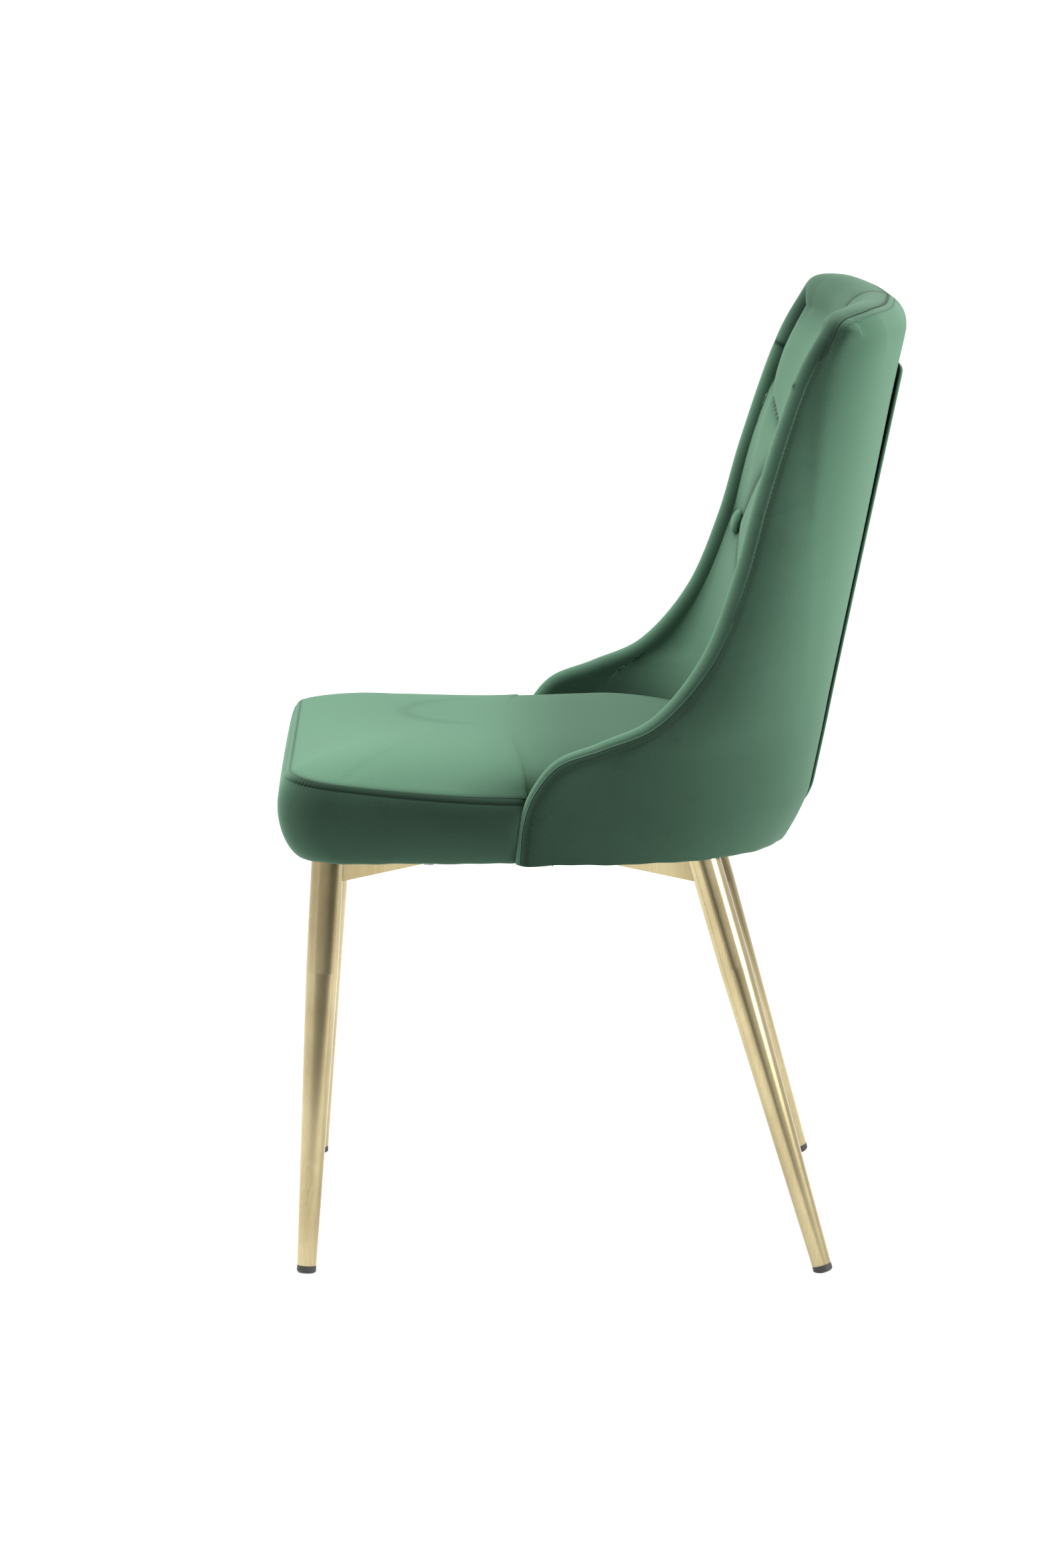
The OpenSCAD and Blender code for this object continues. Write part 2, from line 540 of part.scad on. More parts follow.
module frame_nuts() color("silver") for (p = bolt_spots) translate([p[0], p[1], board_top]) difference() {
  union() {
    translate([0, 0, -nut_flange_t]) cylinder(d = nut_flange_d, h = nut_flange_t);
    translate([0, 0, -nut_barrel_l]) cylinder(d = nut_barrel_d, h = nut_barrel_l);
  }
  translate([0, 0, -nut_barrel_l - cut]) cylinder(d = bolt_d, h = nut_barrel_l + 2 * cut);
}

// ---- nodes: base ----
lining_in = 12;           // the lining stops this far inside the base board's edge
lining_room = 2;          // how much wider than the bolts its holes are
module base_lining() color("#2b2b2d") difference() {
  base_plate(lining_z, lining_t, lining_in);
  for (p = bolt_spots) translate([p[0], p[1], lining_z - cut])
    cylinder(d = bolt_d + lining_room, h = lining_t + 2 * cut);
}
staple_w = 10;
staple_wire = 0.7;
staple_in = lining_in + 5;
staple_ring = mirror_ring([for (p = concat(base_front, base_rear)) let (c = [p[0], p[1] - cross_mid[1]])
  [0, cross_mid[1]] + c * (1 - staple_in / norm(c))]);
staple_gap = 0.05;
module lining_staples() color("silver") for (i = [0:len(staple_ring) - 1])
  let (a = staple_ring[i], b = staple_ring[(i + 1) % len(staple_ring)], m = (a + b) / 2, d = b - a)
  if (norm(d) > 1.5 * staple_w) translate([m[0], m[1], lining_z - staple_wire - staple_gap])
    rotate([0, 0, atan2(d[1], d[0])]) translate([-staple_w / 2, -staple_wire / 2, 0])
      cube([staple_w, staple_wire, staple_wire]);
module base_board() color("#c9a26b") difference() {
  base_plate(board_z, board_t, 0);
  for (p = bolt_spots) translate([p[0], p[1], board_z]) {
    translate([0, 0, -cut]) cylinder(d = nut_barrel_d + bolt_room, h = board_t + 2 * cut);
    translate([0, 0, board_t - nut_flange_t - metal_gap])
      cylinder(d = nut_flange_d + bolt_room, h = board_t);
  }
  screws(bolt_room);
}
module shell_screws() color("silver") screws(0);

// ---- nodes: seat ----
module seat_foam() color("#efe7c8")
  ring_stack(concat([for (v = foam_levels) foam_ring(v)], [for (s = crown_shares) foam_top(s)]));
module seat_top_cover() color(velvet) slab(
  [for (p = seam_ring) [for (s = crown_shares) crown(p, edge_z(p), s)]],
  [for (p = seam_ring) [for (s = crown_shares) crown(p, edge_z(p), s) - [0, 0, velvet_t]]],
  ring = true, cap = true);
boxing_levels = [0.02, 0.12, 0.3, 0.5, 0.7, 0.88, 0.98];
function boxing_column(i, inset) = concat(
  [for (h = [hem_w, 1 + inset]) let (p = base_front_at(i), c = [p[0], p[1] + seat_corner * 2])
    [p[0] - c[0] * h / norm(c), p[1] - c[1] * h / norm(c), hem_z + inset]],
  [for (v = boxing_levels) side_point(i, mix(hem_z + inset, edge[i], v), inset)]);
function base_front_at(i) = half_ring(0, 0)[i];
boxing_count = len(front_outline(seat_front, seat_half, wing_end(side_seam_z)));
function boxing_half(inset) = [for (i = [0:boxing_count - 1]) boxing_column(i, inset)];
function round_front(half) = concat([for (i = [len(half) - 1:-1:1]) [for (p = half[i]) flip(p)]], half);
module seat_boxing_cover() color(velvet)
  slab(round_front(boxing_half(0)), round_front(boxing_half(velvet_t)));

// ---- nodes: back ----
module shell_board() color("#c9a26b") difference() {
  layer(shell_in, shell_board_t);
  tie_holes();
  screws(bolt_room / 2);
}
module back_wadding() color("#e9e6df") layer(wadding_in, wadding_t);
rim_steps = 8;
function foam_edge(e, angle) = let (
    f = rim_frame(e), r = rim_r(e), m = rim(e) + r * f[2] + (r - shell_mid) * f[1],
    half = shell_board_t / 2 + soft_gap
  ) m + half * cos(angle) * f[1] - edge_clear * sin(angle) * f[2];
inner_steps = rows;
function inner_rows(e, inset) = [for (k = [1:inner_steps]) rib(1, e, k / inner_steps, inset, foam_z)];
function foam_faces(e) = concat([for (s = steps(rim_steps)) rim_point(e, 180 * s, foam_inset)],
                                inner_rows(e, foam_inset));
function foam_seats(e) = concat(
  [for (s = steps(rim_steps)) foam_edge(e, 180 * s)],
  [for (k = [1:rows]) rib(-1, e, row(e, k), foam_in, hem_z)]);
module back_foam() color("#efe7c8") difference() {
  slab(both([for (e = ribs) foam_faces(e)]), both([for (e = ribs) foam_seats(e)]));
  tie_holes();
}
seam_half_gap = 0.2;
seam_lap = 5;             // turn from the seam to the next row of the cover, in degrees
function inner_cover_rib(e, inset) =
  let (seam = seam_at(e) - seam_half_gap, a = seam_angle(e, seam)) concat(
  [seam < rim_r(e) ? rim_point(e, a, inset) : rib(-1, e, seam_share(e, seam), inset, hem_z)],
  [for (s = steps(rim_steps)) rim_point(e, mix(a + seam_lap, 180, s), inset)],
  inner_rows(e, inset));
module back_inner_cover() color(velvet) difference() {
  slab(both([for (e = cover_ribs) inner_cover_rib(e, velvet_t)]),
       both([for (e = cover_ribs) inner_cover_rib(e, 0)]));
  tie_holes();
}
arc_steps = 3;
lead_share = 0.6;         // share of the first row that the rim's own steps take on the wings
function outer_cover_rib(e, inset) =
  let (seam = seam_at(e) + seam_half_gap, a = seam_angle(e, seam)) concat(
  [for (s = steps(arc_steps)) a > 0 ? rim_point(e, mix(a, 0, s), inset)
    : rib(-1, e, row(e, 0) + seam_half_gap / run(e) + (row(e, 1) - row(e, 0)) * s * lead_share,
          inset, hem_z)],
  [for (k = [1:rows]) rib(-1, e, row(e, k), inset, hem_z)],
  [for (h = [inset, shell_hem]) rib(-1, e, 1, h, hem_z + inset)]);
module back_outer_cover() color(velvet) slab(
  both([for (e = cover_ribs) outer_cover_rib(e, 0)]),
  both([for (e = cover_ribs) outer_cover_rib(e, velvet_t)]));

// Rear panel: a rounded trapezium laid over the rear face
panel_gap = 2 * soft_gap; // clears the slight bend of the rear face
panel_low_z = frame_top + panel_rise;
panel_high_z = crest_z - panel_drop;
panel_mid_z = (panel_low_z + panel_high_z) / 2;
function panel_half(z) =
  mix(panel_foot_w, panel_top_w, (z - panel_low_z) / (panel_high_z - panel_low_z)) / 2;
corner_turns = [for (a = [0:18:90]) a];
edge_steps = 8;
function panel_loop(grow) = let (
    hi = panel_high_z + grow, lo = panel_low_z - grow, r = panel_corner + grow,
    right = concat(
      [for (k = [1:edge_steps / 2]) [(panel_half(lo) + grow - r) * k / (edge_steps / 2 + 1), lo]],
      [for (a = corner_turns) [panel_half(lo) + grow - r + r * cos(a - 90), lo + r + r * sin(a - 90)]],
      [for (k = [1:edge_steps]) let (z = mix(lo + r, hi - r, k / (edge_steps + 1)))
        [panel_half(z) + grow, z]],
      [for (a = corner_turns) [panel_half(hi) + grow - r + r * cos(a), hi - r + r * sin(a)]],
      [for (k = [edge_steps / 2:-1:1]) [(panel_half(hi) + grow - r) * k / (edge_steps / 2 + 1), hi]])
  ) concat(right, [for (i = [len(right) - 1:-1:0]) [-right[i][0], right[i][1]]]);
function rear_point(x, z, out) = let (
    a = half_at(z), q = outer_at(turn_rear(abs(x), a, z), z), s = x < 0 ? -1 : 1
  ) [s * (q[0][0] + q[1][0] * out), q[0][1] + q[1][1] * out, z];
function turn_rear(x, a, z) = acos(power(clamp(x / a), outer_power(rear_at(z) - front_at(z) - wing_r) / 2));
panel_shares = [1, 0.93, 0.78, 0.58, 0.38, 0.18];
function panel_grid(grow, out) = [for (p = panel_loop(grow)) [for (s = panel_shares)
  rear_point(p[0] * s, mix(panel_mid_z, p[1], s), out)]];
module rear_panel_board() color("#8a6a44")
  slab(panel_grid(0, panel_gap + panel_t), panel_grid(0, panel_gap), ring = true, cap = true);
panel_skin = panel_gap + panel_t + soft_gap;
function skirt(grow, out, foot) = [for (p = panel_loop(grow)) concat([rear_point(p[0], p[1], foot)],
  [for (s = panel_shares) rear_point(p[0] * s, mix(panel_mid_z, p[1], s), out)])];
module rear_panel_cover() color(velvet) slab(
  skirt(soft_gap + velvet_t, panel_skin + velvet_t, panel_gap),
  skirt(soft_gap, panel_skin, panel_gap), ring = true, cap = true);

module button_upper() button(tufts[0]);
module button_left() button(tufts[1]);
module button_right() button(tufts[2]);
module button_lower() button(tufts[3]);
tie_start = 0.6;          // the ties start this far behind the flat backs of the buttons
module button_ties() color("#d8d2c4") for (t = tufts)
  let (p = tuft_point(t), n = tuft_normal(t), q = p + n * button_lift + [0, tie_start, 0])
  translate([p[0], q[1], p[2]]) rotate([-90, 0, 0])
    cylinder(d = tie_d, h = rear_y_at(p[0], p[2]) - shell_in - q[1]);

cross_bar();
half_bar_front_right();
half_bar_rear_left();
leg_front_left();
leg_front_right();
leg_rear_left();
leg_rear_right();
foot_front_left();
foot_front_right();
foot_rear_left();
foot_rear_right();
frame_washers();
frame_bolts();
frame_nuts();
base_lining();
lining_staples();
base_board();
shell_screws();
seat_foam();
seat_top_cover();
seat_boxing_cover();
shell_board();
back_wadding();
back_foam();
back_inner_cover();
back_outer_cover();
rear_panel_board();
rear_panel_cover();
button_upper();
button_left();
button_right();
button_lower();
button_ties();
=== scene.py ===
import json
import math
import bpy
import numpy as np
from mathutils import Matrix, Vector
from mathutils.bvhtree import BVHTree


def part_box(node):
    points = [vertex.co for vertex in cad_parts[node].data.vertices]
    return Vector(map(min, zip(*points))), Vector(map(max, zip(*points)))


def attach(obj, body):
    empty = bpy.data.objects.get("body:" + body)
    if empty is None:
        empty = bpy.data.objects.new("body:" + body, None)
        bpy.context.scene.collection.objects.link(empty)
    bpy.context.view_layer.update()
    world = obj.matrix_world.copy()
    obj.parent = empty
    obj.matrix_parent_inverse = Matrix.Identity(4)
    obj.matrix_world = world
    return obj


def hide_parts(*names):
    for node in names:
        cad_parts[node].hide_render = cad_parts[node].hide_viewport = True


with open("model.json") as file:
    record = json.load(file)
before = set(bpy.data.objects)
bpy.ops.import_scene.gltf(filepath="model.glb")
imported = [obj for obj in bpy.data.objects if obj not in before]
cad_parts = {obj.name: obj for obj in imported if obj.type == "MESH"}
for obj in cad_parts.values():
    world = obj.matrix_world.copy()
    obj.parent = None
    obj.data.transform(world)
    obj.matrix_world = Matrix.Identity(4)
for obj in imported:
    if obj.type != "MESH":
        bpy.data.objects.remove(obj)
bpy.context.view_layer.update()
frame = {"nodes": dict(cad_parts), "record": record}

mm = 0.001
print("dining chair: frame loaded")


def toLinear(hexColour):
    parts = [int(hexColour[i:i + 2], 16) / 255 for i in (1, 3, 5)]
    return [c / 12.92 if c <= 0.04045 else ((c + 0.055) / 1.055) ** 2.4 for c in parts] + [1]


# Adds a node; settings are its properties or inputs by name or number, links are sockets by name or iN
def addNode(tree, kind, settings=None, **links):
    node = tree.nodes.new(kind)
    for name, value in (settings or {}).items():
        if isinstance(name, str) and hasattr(node, name):
            setattr(node, name, value)
        else:
            node.inputs[name].default_value = value
    for name, source in links.items():
        socket = node.inputs[int(name[1:])] if name[0] == "i" and name[1:].isdigit() else node.inputs[name]
        tree.links.new(source, socket)
    return node


def newMaterial(name):
    material = bpy.data.materials.new(name)
    material.use_nodes = True
    material.node_tree.nodes.clear()
    return material, material.node_tree


def unit(v):
    return v / np.maximum(np.linalg.norm(v, axis=-1, keepdims=True), 1e-12)


def mix(a, b, t):
    return a + (b - a) * t


def ease(t):
    t = np.clip(t, 0, 1)
    return t * t * (3 - 2 * t)


def bell(distance, width):
    return np.exp(-(distance / width) ** 2)


def power(v, n):
    return np.where(v > 0, np.abs(v) ** n, 0.0)


# Smooth curve through keys; t counts keys
def spline(keys, t):
    keys = np.asarray(keys, float)
    ends = np.vstack([2 * keys[0] - keys[1], keys, 2 * keys[-1] - keys[-2]])
    t = np.asarray(t, float)
    i = np.clip(np.floor(t).astype(int), 0, len(keys) - 2)
    u = (t - i)[..., None]
    a, b, c, d = ends[i], ends[i + 1], ends[i + 2], ends[i + 3]
    return 0.5 * (2 * b + (c - a) * u + (2 * a - 5 * b + 4 * c - d) * u ** 2
                  + (3 * b - a - 3 * c + d) * u ** 3)


def makePiece(name, vertices, faces, material):
    mesh = bpy.data.meshes.new(name)
    mesh.from_pydata(np.asarray(vertices).tolist(), [], faces)
    mesh.update()
    piece = bpy.data.objects.new(name, mesh)
    bpy.context.collection.objects.link(piece)
    mesh.materials.append(material)
    mesh.shade_smooth()
    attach(piece, "root")
    return piece


def gridFaces(columns, rows, closed=False, flip=False):
    faces = []
    for i in range(columns if closed else columns - 1):
        for j in range(rows - 1):
            a, b = i * rows + j, (i + 1) % columns * rows + j
            faces.append((a, b, b + 1, a + 1) if flip else (a, a + 1, b + 1, b))
    return faces


# Closes a ring grid with a fan to one middle point
def fanFaces(columns, rows, flip=False):
    hub = columns * rows
    ends = [i * rows + rows - 1 for i in range(columns)] + [rows - 1]
    return [(b, hub, a) if flip else (a, hub, b) for a, b in zip(ends[:-1], ends[1:])]


def paint(piece, values):
    attribute = piece.data.attributes.new("shade", "FLOAT", "POINT")
    attribute.data.foreach_set("value", np.clip(values, 0, 1).astype(np.float32).ravel())


def thicken(piece, thickness):
    skin = piece.modifiers.new("cloth thickness", "SOLIDIFY")
    skin.thickness = thickness
    skin.offset = -1
    skin.use_even_offset = False


# Unit normals of a grid, on the side that its middle turns to
def gridNormals(grid, outside):
    n = unit(np.cross(np.gradient(grid, axis=1), np.gradient(grid, axis=0)))
    i, j = grid.shape[0] // 2, grid.shape[1] // 2
    return n if n[i, j] @ np.asarray(outside, float) > 0 else -n


def alongRows(grid):
    steps = np.linalg.norm(np.diff(grid, axis=1), axis=2)
    return np.concatenate([np.zeros((len(grid), 1)), np.cumsum(steps, axis=1)], axis=1)


def alongColumns(line):
    return np.cumsum(np.linalg.norm(np.diff(line, axis=0, prepend=line[:1]), axis=1))


def mirrored(half):
    return np.concatenate([half, half[-2::-1] * [-1, 1, 1]])


# Evens out a grid from column to column; the weight is 0 to 1 for each row, or for each place
def evenOut(grid, passes, weight):
    g = grid.copy()
    w = np.broadcast_to(weight, g.shape[:2])[1:-1, :, None]
    for _ in range(passes):
        g[1:-1] += w * (0.25 * g[:-2] - 0.5 * g[1:-1] + 0.25 * g[2:])
    return g


# Cut-pile polyester velvet, woven and dyed: a soft deep green with darker places where the pile lies the
# other way;
# its paleness where it is seen aslant is a painted sheen, and its darkest places are painted shade
velvetLook = {
    # The third and fourth colours here are the pile painted lighter, a painted highlight for the light that
    # falls on the seat's top
    "pile": "#304839", "raisedPile": "#3a5545", "brushed": "#3c5945", "litRaisedPile": "#4b6c55",
    # Of the next line's colours, laidPile is the pile's own darker tone; the second is a near-black green
    # for painted shade and the third a pale green for a painted sheen
    "laidPile": "#24382b", "paintedShade": "#0f1d15", "paintedSheenTone": "#678f76", "glancePower": 0.6,
    "sheen": "#bfdcc8", "sheenAmount": 0.3, "sheenSpread": 0.4,
    "handMark": 150 * mm, "rub": 32 * mm, "tuft": 1.1 * mm, "tuftDepth": 0.3 * mm,
}


def velvet(name, pile, raisedPile):
    material, tree = newMaterial(name)
    where = addNode(tree, "ShaderNodeTexCoord").outputs["Object"]
    look = velvetLook
    drawn = addNode(tree, "ShaderNodeMapping", {"Scale": (0.7, 1, 1.5)}, Vector=where).outputs[0]
    # Where a hand has passed; small crushed places; the pile, three times as coarse as the real one
    patches = addNode(tree, "ShaderNodeTexNoise",
                      {"Scale": 1 / look["handMark"], "Detail": 3.0, "Roughness": 0.5}, Vector=drawn)
    rubs = addNode(tree, "ShaderNodeTexNoise",
                   {"Scale": 1 / look["rub"], "Detail": 4.0, "Roughness": 0.65, "Distortion": 0.3},
                   Vector=drawn)
    tufts = addNode(tree, "ShaderNodeTexNoise",
                    {"Scale": 1 / look["tuft"], "Detail": 2.0, "Roughness": 0.6}, Vector=where)
    patchMap = addNode(tree, "ShaderNodeMapRange", {"From Min": 0.35, "From Max": 0.68, "To Max": 0.85},
                       Value=patches.outputs["Fac"])
    base = addNode(tree, "ShaderNodeMix", {"data_type": "RGBA", 6: toLinear(pile), 7: toLinear(raisedPile)},
                   Factor=patchMap.outputs[0])
    rubMap = addNode(tree, "ShaderNodeMapRange", {"From Min": 0.55, "From Max": 0.8, "To Max": 0.45},
                     Value=rubs.outputs["Fac"])
    rubbed = addNode(tree, "ShaderNodeMix", {"data_type": "RGBA", 7: toLinear(look["laidPile"])},
                     Factor=rubMap.outputs[0], i6=base.outputs[2])
    # Painted sheen: the colour turns pale where the pile is seen aslant, as on the sides of the tufts
    facing = addNode(tree, "ShaderNodeLayerWeight", {"Blend": 0.5})
    aslant = addNode(tree, "ShaderNodeMath", {"operation": "POWER", 1: look["glancePower"]},
                     i0=facing.outputs["Facing"])
    paintedSheen = addNode(tree, "ShaderNodeMix", {"data_type": "RGBA", 7: toLinear(look["paintedSheenTone"])},
                     Factor=aslant.outputs[0], i6=rubbed.outputs[2])
    # Painted shade: where the shade attribute is high the colour darkens towards a near-black green, in
    # pleats, seams and hollows and where less light falls; the seat's finger arc shares this tone
    shade = addNode(tree, "ShaderNodeAttribute", {"attribute_name": "shade"})
    shadedColour = addNode(tree, "ShaderNodeMix", {"data_type": "RGBA", 7: toLinear(look["paintedShade"])},
                   Factor=shade.outputs["Fac"], i6=paintedSheen.outputs[2])
    grain = addNode(tree, "ShaderNodeMapRange", {"To Min": 0.84, "To Max": 1.16},
                    Value=tufts.outputs["Fac"])
    colour = addNode(tree, "ShaderNodeMix", {"data_type": "RGBA", "blend_type": "MULTIPLY", 0: 1.0},
                     i6=shadedColour.outputs[2], i7=grain.outputs[0])
    bump = addNode(tree, "ShaderNodeBump", {"Strength": 0.3, "Distance": look["tuftDepth"]},
                   Height=tufts.outputs["Fac"])
    surface = addNode(tree, "ShaderNodeBsdfPrincipled",
                      {"Roughness": 0.9, "IOR": 1.45, "Specular IOR Level": 0.15,
                       "Sheen Weight": look["sheenAmount"], "Sheen Roughness": look["sheenSpread"],
                       "Sheen Tint": toLinear(look["sheen"])},
                      **{"Base Color": colour.outputs[2], "Normal": bump.outputs[0]})
    addNode(tree, "ShaderNodeOutputMaterial", Surface=surface.outputs[0])
    return material


greenVelvet = velvet("cut-pile velvet", velvetLook["pile"], velvetLook["raisedPile"])
# The seat's top: a lit copy of the same velvet, its colours painted lighter for the light from above
paintedLitVelvet = velvet("cut-pile velvet painted lighter", velvetLook["brushed"], velvetLook["litRaisedPile"])

# Polyester sewing thread, spun and twisted: darker than the velvet, with a faint gloss
threadLook = {"light": "#24402f", "dark": "#13241a", "turn": 0.8 * mm}


def sewingThread():
    material, tree = newMaterial("twisted polyester thread")
    where = addNode(tree, "ShaderNodeTexCoord").outputs["Object"]
    twist = addNode(tree, "ShaderNodeTexNoise", {"Scale": 1 / threadLook["turn"], "Detail": 1.0},
                    Vector=where)
    colour = addNode(tree, "ShaderNodeMix", {"data_type": "RGBA", 6: toLinear(threadLook["dark"]),
                                             7: toLinear(threadLook["light"])}, Factor=twist.outputs["Fac"])
    surface = addNode(tree, "ShaderNodeBsdfPrincipled", {"Roughness": 0.6},
                      **{"Base Color": colour.outputs[2]})
    addNode(tree, "ShaderNodeOutputMaterial", Surface=surface.outputs[0])
    return material


darkThread = sewingThread()
print("velvet and thread ready")

# The back is an upholstered shell: these are the source's own values. Its plan grows boxier with depth
shell = {
    "wingRadius": 12 * mm, "rollRadius": 32 * mm, "rear": 222 * mm, "rakeFrom": 475 * mm, "rake": 0.21,
    "uprightShare": 0.925, "tuckRise": 46 * mm, "tuckDepth": 12 * mm, "wingFront": -79 * mm,
    "crest": 280.2 * mm, "topHalf": 180 * mm, "armHalf": 237 * mm, "width": 498 * mm, "height": 536 * mm,
    "seam": 15 * mm, "tuckPower": 1.5, "boxyFrom": 0.17, "boxyOver": 0.38, "innerBoxyOver": 0.3,
}
cloth = 1.2 * mm  # the velvet with its backing
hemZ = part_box("back_outer_cover")[0].z
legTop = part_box("leg_front_left")[1].z
crestZ = legTop + shell["height"]

# The rim from a wing's foot to the middle of the crest: shares of the half width, of the run
# from the wing's front to the crest, of the height, and of the seam's distance from the rim
rimShares = [
    [1, 0, 0, 0.2], [1, 0.011, 0.075, 0.2], [1, 0.042, 0.135, 0.22], [0.998, 0.111, 0.191, 0.27],
    [0.992, 0.233, 0.224, 0.36], [0.977, 0.376, 0.27, 0.5], [0.928, 0.506, 0.378, 0.7],
    [0.86, 0.591, 0.521, 0.9], [0.812, 0.652, 0.669, 1], [0.768, 0.744, 0.856, 0.98],
    [0.758, 0.819, 0.953, 0.7], [0.726, 0.858, 0.989, 0.35], [0.586, 0.925, 0.999, 0.2],
    [0.33, 0.975, 0.997, 0.2], [0, 1, 0.996, 0.2],
]
rimEnd = len(rimShares) - 1
rimCorner = 9.5
topShare = rimShares[rimEnd - 4][0]


def rim(e):
    k = spline(rimShares, e)
    narrow = (1 - k[..., 0]) / (1 - topShare)
    half = np.where(e < rimCorner, mix(shell["armHalf"], shell["topHalf"], narrow),
                    shell["topHalf"] * k[..., 0] / topShare)
    run, height = mix(shell["wingFront"], shell["crest"], k[..., 1]), mix(hemZ, crestZ, k[..., 2])
    return np.stack([half, run, height], -1)


def rimRadius(e):
    return mix(shell["wingRadius"], shell["rollRadius"], ease((e - rimCorner) / (rimEnd - 2 - rimCorner)))


def seamAt(e):
    return shell["seam"] * spline(rimShares, e)[..., 3]


rimTable = rim(np.arange(0, rimCorner + 1.01, 0.25))
sideTable = rim(np.arange(0, rimCorner + 0.01, 0.25))


def halfAt(z):
    return np.interp(z, sideTable[:, 2], sideTable[:, 0] + shell["wingRadius"])


def frontAt(z):
    return np.interp(z, rimTable[:, 2], rimTable[:, 1])


def rearAt(z):
    upright = legTop + shell["uprightShare"] * shell["height"]
    tuck = power((legTop + shell["tuckRise"] - z) / shell["tuckRise"], shell["tuckPower"])
    leaning = shell["rear"] + shell["rake"] * (np.minimum(z, upright) - shell["rakeFrom"])
    return leaning - shell["tuckDepth"] * tuck


def quarter(turn, z, a, y0, b, p):
    x, y = a * power(np.cos(turn), 2 / p), b * power(np.sin(turn), 2 / p)
    point = np.stack([x, y0 + y, z + 0 * x], -1)
    out = np.stack([power(x / a, p - 1) / a, power(y / b, p - 1) / b, 0 * x], -1)
    return point, unit(out)


def outerPower(b):
    return 2 + np.maximum(0, b / shell["width"] - shell["boxyFrom"]) / shell["boxyOver"]


def outerAt(turn, z):
    y0 = frontAt(z) + shell["wingRadius"]
    b = rearAt(z) - y0
    return quarter(turn, z, halfAt(z), y0, b, outerPower(b))


# Inner face on the centre line: shares of the height and of the run from wing front to crest
innerShares = [[0, 0.55], [0.04, 0.556], [0.195, 0.577], [0.355, 0.616], [0.52, 0.666],
               [0.702, 0.733], [0.857, 0.824], [0.962, 0.906], [1, 0.93]]
innerTable = spline(innerShares, np.arange(0, len(innerShares) - 0.99, 0.25))


def innerAt(turn, z):
    y0 = frontAt(z) + shell["wingRadius"]
    middle = mix(shell["wingFront"], shell["crest"],
                 np.interp(z, legTop + shell["height"] * innerTable[:, 0], innerTable[:, 1]))
    b = np.maximum(shell["wingRadius"] / 3, middle - y0)
    return quarter(turn, z, halfAt(z) - 2 * shell["wingRadius"], y0, b,
                   2 + np.clip(b / shell["width"] / shell["innerBoxyOver"], 0, 1))


def turnAt(x, a):
    return np.arccos(np.clip(x / a, 0, 1))


def rimFrame(e):
    d = 0.02
    ahead = rim(np.minimum(e + d, rimEnd)) - rim(np.maximum(0, e - d))
    along = unit(np.where((e > rimEnd - d)[..., None], np.array([-1.0, 0, 0]), ahead))
    turn = np.where(e < rimCorner, 0, turnAt(rim(e)[..., 0], shell["topHalf"]))
    n0 = np.stack([np.cos(turn), np.sin(turn), 0 * turn], -1)
    n = unit(n0 - (n0 * along).sum(-1, keepdims=True) * along)
    return along, n, np.cross(along, n)


# Round the rim: 0 degrees is the outer face, 90 the crest of the rim and 180 the inner face
def rimPoint(e, degrees):
    along, n, down = rimFrame(e)
    r = rimRadius(e)[..., None]
    a = np.radians(np.asarray(degrees, float))[..., None]
    return rim(e) + r * down + r * (np.cos(a) * n - np.sin(a) * down)


# Runs down from the rim to a foot; face is 1 inside and -1 outside
def rib(face, e, share, foot):
    at = innerAt if face > 0 else outerAt
    top = rimPoint(e, 180 if face > 0 else 0)
    half = halfAt(top[..., 2]) - (2 * shell["wingRadius"] if face > 0 else 0)
    first = np.where(e < rimCorner, 0, turnAt(top[..., 0], half))
    turn = mix(first, np.radians(90) * np.maximum(e, 0.25) / rimEnd, share)
    here, _ = at(turn, mix(top[..., 2], foot, share))
    lead, _ = at(first, top[..., 2])
    return here + (top - lead) * (1 - ease(share / 0.45))[..., None]


def seamAngle(e):
    return np.degrees(np.arcsin(np.clip(1 - seamAt(e) / rimRadius(e), 0, 1)))


def seamShare(e):
    run = np.maximum(20 * mm, rimPoint(e, 0)[..., 2] - hemZ)
    return np.clip((seamAt(e) - rimRadius(e)) / run, 0, 1)


# Inner cover: velvet drawn down over foam by four buttons, with pleats between them. The wings stay
# nearly plain, and so does the band over the rim
tufts = {
    "upper": (0, 787 * mm), "side": (163 * mm, 688 * mm), "lower": (0, 598 * mm), "foot": 452 * mm,
    "seatLine": 496 * mm, "seatRun": 45 * mm, "plump": 5 * mm, "spread": 10 * mm, "rimRun": 60 * mm,
    "rimStart": 8 * mm, "buttonFlat": 0.7, "buttonRun": 45 * mm, "dimple": 1.2 * mm, "dimpleRun": 15 * mm,
    "pleatWidth": 2.2 * mm, "pleatDepth": 1.6 * mm, "seamDip": 0.6 * mm, "seamWidth": 1.8 * mm,
    "wingTop": 560 * mm, "wingFade": 150 * mm, "wingRun": 90 * mm, "wingFlat": 0.95,
    "bandSwell": 0.5 * mm, "bandRun": 40 * mm, "bandFade": 24 * mm, "bandGather": 9 * mm,
    "smoothPasses": 90, "fadeRows": 12, "wingShare": 0.04, "wingKey": 7, "keyFade": 2.5,
}
